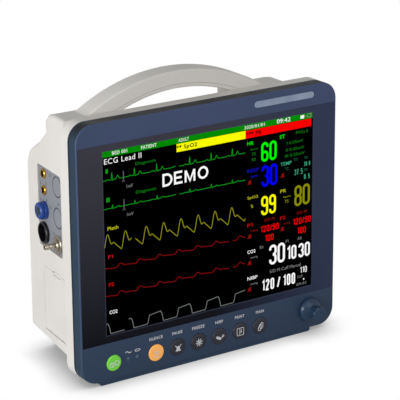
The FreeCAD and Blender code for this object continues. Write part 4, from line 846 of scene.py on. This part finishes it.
def chart_page(ink):
    """A page with an arrow out of it."""
    corner, half_width, half_height = 1.0, 3.0, 2.9
    outline = []
    for side, end, start in ((1, 1, 0), (-1, 1, 90), (-1, -1, 180), (1, -1, 270)):
        x, y = side * half_width, end * half_height
        outline += arc((x, y), corner, corner, start, start + 90, 4)
    ink.line(outline, 0.7, True)
    ink.line([(-0.8, -3.4), (-0.8, 2.6)], 0.6)
    ink.shape([(0.0, -2.0), (2.2, 0.2), (1.2, 0.6), (1.4, 2.4), (0.4, 2.4), (0.4, 0.6)])


def two_pages(ink):
    """Two leaves, one behind the other."""
    leaf = [(-1.6, -3.2), (0.6, -3.4), (1.9, -1.2), (1.7, 2.6), (0.2, 3.1), (-1.9, -0.6)]
    for shift_x, shift_y in ((-0.9, -0.8), (1.1, 0.9)):
        ink.line([(x + shift_x, y + shift_y) for x, y in leaf], 0.75, True)


KEY_ICONS = {
    "power_key": linked_rings,
    "silence_key": lambda ink: crossed_bell(ink, False),
    "pause_key": lambda ink: crossed_bell(ink, True),
    "freeze_key": snow_star,
    "nibp_key": arm_cuff,
    "print_key": chart_page,
    "main_key": two_pages,
}
KEY_WORDS = {       # the word over each key and its width
    "silence_key": ("SILENCE", 15.6), "pause_key": ("PAUSE", 12.0), "freeze_key": ("FREEZE", 14.6),
    "nibp_key": ("NIBP", 9.4), "print_key": ("PRINT", 11.6), "main_key": ("MAIN", 9.8),
}
PRINT_DEPTH = 0.04                      # of the ink on the bezel and the connector panel
SIGN_DEPTH, SIGN_LIFT = 0.06, -0.01     # of the ink on the keys
WORD_BOTTOM, WORD_TOP = 30.4, 33.5      # heights on the bezel's face
LAMP_SIGN_HEIGHT = 24.6
LAMP_INSET = 3.0                        # from the lamps' outer edges to their middles


def print_ink(name, low, high):
    """Screen-printed ink: slightly uneven cover and a soft gloss."""
    paint = Shader(name)
    cover = paint.fit(paint.noise(1500.0, 3.0), 0.3, 0.75)
    colour = paint.mix(cover, srgb(low), srgb(high))
    return paint.done(paint.surface(Base_Color=colour, Roughness=0.5, Normal=paint.bump(cover, 0.003)))


def draw_keys():
    """A sign on each key, which moves with it, and the words on the bezel above the keys."""
    sign_drop = 0.5 * MM
    white = print_ink("ink_white", "D4D6DA", "F2F3F5")
    face_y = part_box("front_bezel")[0].y
    labels = Marks(Plane((0, face_y, 0), (1, 0, 0)), PRINT_DEPTH, 0.0)
    for name, icon in KEY_ICONS.items():
        low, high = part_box(name)
        middle = (low + high) / 2
        plane = Plane((middle.x, low.y, middle.z - sign_drop), (1, 0, 0))
        marks = Marks(plane, SIGN_DEPTH, SIGN_LIFT)
        icon(marks)
        marks.piece(name.replace("_key", "_icon"), white, name, "shell_white")
        if name in KEY_WORDS:
            text, width = KEY_WORDS[name]
            left = middle.x / MM - width / 2
            labels.words(text, left, WORD_BOTTOM, left + width, WORD_TOP, 0.018, 1.1)
    draw_lamp_signs(labels)
    labels.piece("key_labels", white, "monitor", "shell_white")


def draw_lamp_signs(labels):
    """A mains wave and a battery above the two lamps."""
    low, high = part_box("indicator_lenses")
    first, second = low.x / MM + LAMP_INSET, high.x / MM - LAMP_INSET
    height, reach, swing, steps = LAMP_SIGN_HEIGHT, 3.4, 0.9, 20
    turns = [2 * index / steps - 1 for index in range(steps + 1)]
    wave = [(first + reach * turn, height - swing * math.sin(math.pi * turn)) for turn in turns]
    labels.line(wave, 0.8)
    half, cap = 1.6, 1.0
    outline = arc((second + half, height), cap, cap, -90, 90, 8)
    outline += arc((second - half, height), cap, cap, 90, 270, 8)
    labels.line(outline, 0.6, True)
    labels.bar(second + 3.0, height - 0.5, second + 3.6, height + 0.5)


ALONG_SIDE = Vector((0.0991, 0.9951, 0))        # backwards along the case's tapering left side
OUT_OF_SIDE = Vector((-ALONG_SIDE.y, ALONG_SIDE.x, 0))
PLUG_RADIUS = 10.2


def draw_panel_marks():
    """Small printed signs beside each connector, and a dark joint round each blank cover."""
    low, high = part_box("connector_panel")
    middle = (low + high) / 2
    corners = nodes["connector_panel"].data.vertices
    reach = max(corner.co.dot(OUT_OF_SIDE) for corner in corners)
    across = middle.dot(ALONG_SIDE)
    start = OUT_OF_SIDE * reach + ALONG_SIDE * across
    plane = Plane((start.x, start.y, middle.z), -ALONG_SIDE)
    dark = Marks(plane, PRINT_DEPTH, 0.0)
    warm = Marks(plane, PRINT_DEPTH, 0.0)
    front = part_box("front_bezel")[0] + Vector((0.5 * MM, 0, 0))

    def spot(u, z):
        """A place that is u behind the bezel's front edge, along the side, and z high."""
        return (across - Vector((front.x, front.y, 0)).dot(ALONG_SIDE)) / MM - u, z - middle.z / MM

    for u, z in ((66.3, 196.0), (89.9, 181.8), (76.4, 184.8), (90.5, 164.9), (76.3, 167.6), (66.6, 163.0),
                 (61.0, 138.3), (44.8, 140.5)):
        x, y = spot(u, z)
        dark.line([(x - 0.9, y - 1.5), (x - 0.9, y + 1.5)], 0.6)
        dark.line([(x + 0.1, y - 1.4), (x + 1.3, y - 0.2), (x + 0.1, y + 1.4)], 0.55)
    x, y = spot(47.7, 171.8)
    dark.disc((x, y), 1.1)
    low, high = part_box("blank_plugs")
    x = (across - ((low + high) / 2).dot(ALONG_SIDE)) / MM
    for z in (low.z / MM + PLUG_RADIUS, high.z / MM - PLUG_RADIUS):
        dark.ring((x, z - middle.z / MM), PLUG_RADIUS - 0.1, 0.8)
    x, y = spot(73.3, 197.6)
    warm.ring((x, y + 0.9), 0.9, 0.6)
    warm.ring((x, y - 1.1), 0.9, 0.6)
    dark.piece("panel_signs", print_ink("ink_dark", "3A3C42", "4C4E55"), "monitor", "panel_grey")
    warm.piece("panel_red_sign", print_ink("ink_red", "A0505A", "B8606A"), "monitor", "panel_grey")


# ---------------------------------------------------------------- floor, light and camera

FLOOR_RADIUS = 5.0
CONTACT_REACH = 0.035
SKY_HORIZON, SKY_ZENITH = 0.58, 0.34
CAMERA_AZIMUTH, CAMERA_ELEVATION, CAMERA_ROLL = -33.57, 18.0, -0.47
CAMERA_TARGET = Vector((12.93, -34.0, 148.41))
CAMERA_SHIFT = 0.35             # the target's move to the left and up, across the view
CAMERA_DISTANCE = 1.8792
CAMERA_LENS, CAMERA_SENSOR = 168.95, 36.0


def add_floor():
    """A disc at the feet's level: the camera sees white, with a painted contact shadow that greys it close
    under and beside the object.
    """
    floor = bmesh.new()
    bmesh.ops.create_circle(floor, cap_ends=True, segments=64, radius=FLOOR_RADIUS)
    data = bpy.data.meshes.new("floor")
    floor.to_mesh(data)
    floor.free()
    thing = bpy.data.objects.new("floor", data)
    thing.location.z = cad_box[0].z
    bpy.context.scene.collection.objects.link(thing)
    paint = Shader("floor")
    seen = paint.add("ShaderNodeLightPath").outputs["Is Camera Ray"]
    # Painted contact shadow: ambient occlusion dims the floor's glow near the object.
    near = paint.add("ShaderNodeAmbientOcclusion", {"Distance": CONTACT_REACH}, samples=8).outputs["AO"]
    shade = paint.fit(near, 0.2, 0.9, 0.3, 1.0)
    bright = paint.add("ShaderNodeEmission", {"Strength": shade}).outputs["Emission"]
    plain = paint.add("ShaderNodeBsdfDiffuse", {"Color": (0.7, 0.7, 0.7, 1)}).outputs["BSDF"]
    mixed = paint.add("ShaderNodeMixShader", {0: seen, 1: plain, 2: bright}).outputs["Shader"]
    data.materials.append(paint.done(mixed))


def add_world():
    """Studio light that fades towards the zenith; the camera sees plain white behind the object."""
    world = bpy.data.worlds.new("studio")
    paint = Shader(world)
    seen = paint.add("ShaderNodeLightPath").outputs["Is Camera Ray"]
    height = paint.add("ShaderNodeSeparateXYZ", {"Vector": paint.places["Generated"]}).outputs["Z"]
    power = paint.fit(height, 0.0, 0.9, SKY_HORIZON, SKY_ZENITH)
    sky = paint.add("ShaderNodeBackground", {"Color": WHITE, "Strength": power}).outputs["Background"]
    plain = paint.add("ShaderNodeBackground", {"Color": WHITE}).outputs["Background"]
    mixed = paint.add("ShaderNodeMixShader", {0: seen, 1: sky, 2: plain}).outputs["Shader"]
    bpy.context.scene.world = paint.done(mixed, "ShaderNodeOutputWorld")


def add_lamp(name, place, target, size, watts):
    """A rectangular soft light that faces the target."""
    data = bpy.data.lights.new(name, "AREA")
    data.shape = "RECTANGLE"
    data.size, data.size_y = size
    data.energy = watts
    lamp = bpy.data.objects.new(name, data)
    lamp.location = place
    lamp.rotation_euler = (Vector(target) - Vector(place)).to_track_quat("-Z", "Y").to_euler()
    bpy.context.scene.collection.objects.link(lamp)


def add_camera():
    """Three-quarter view from the left, a little above the screen's middle."""
    azimuth, elevation, roll = (math.radians(angle) for angle in
                                (CAMERA_AZIMUTH, CAMERA_ELEVATION, CAMERA_ROLL))
    back = Vector((math.sin(azimuth) * math.cos(elevation), -math.cos(azimuth) * math.cos(elevation),
                   math.sin(elevation)))
    across = Vector((math.cos(azimuth), math.sin(azimuth), 0))
    up = back.cross(across)
    right = across * math.cos(roll) + up * math.sin(roll)
    above = up * math.cos(roll) - across * math.sin(roll)
    target = (CAMERA_TARGET + (above - right) * CAMERA_SHIFT) * MM
    data = bpy.data.cameras.new("camera")
    data.sensor_width = CAMERA_SENSOR
    data.lens = CAMERA_LENS
    camera = bpy.data.objects.new("camera", data)
    turned = Matrix((right, above, back)).transposed().to_4x4()
    camera.matrix_world = Matrix.Translation(target + back * CAMERA_DISTANCE) @ turned
    bpy.context.scene.collection.objects.link(camera)
    bpy.context.scene.camera = camera


def add_stage():
    add_floor()
    add_world()
    middle = (cad_box[0] + cad_box[1]) / 2
    add_lamp("left_window", middle + Vector((-2.2, -0.5, 0.2)), middle, (1.8, 0.7), 30.0)
    add_lamp("front_fill", middle + Vector((0.4, -2.6, 0.9)), middle, (1.6, 1.2), 8.0)
    add_camera()
    bpy.context.scene.view_settings.view_transform = "Standard"


paint_nodes(slot_materials())
draw_screen()
draw_keys()
draw_panel_marks()
add_stage()
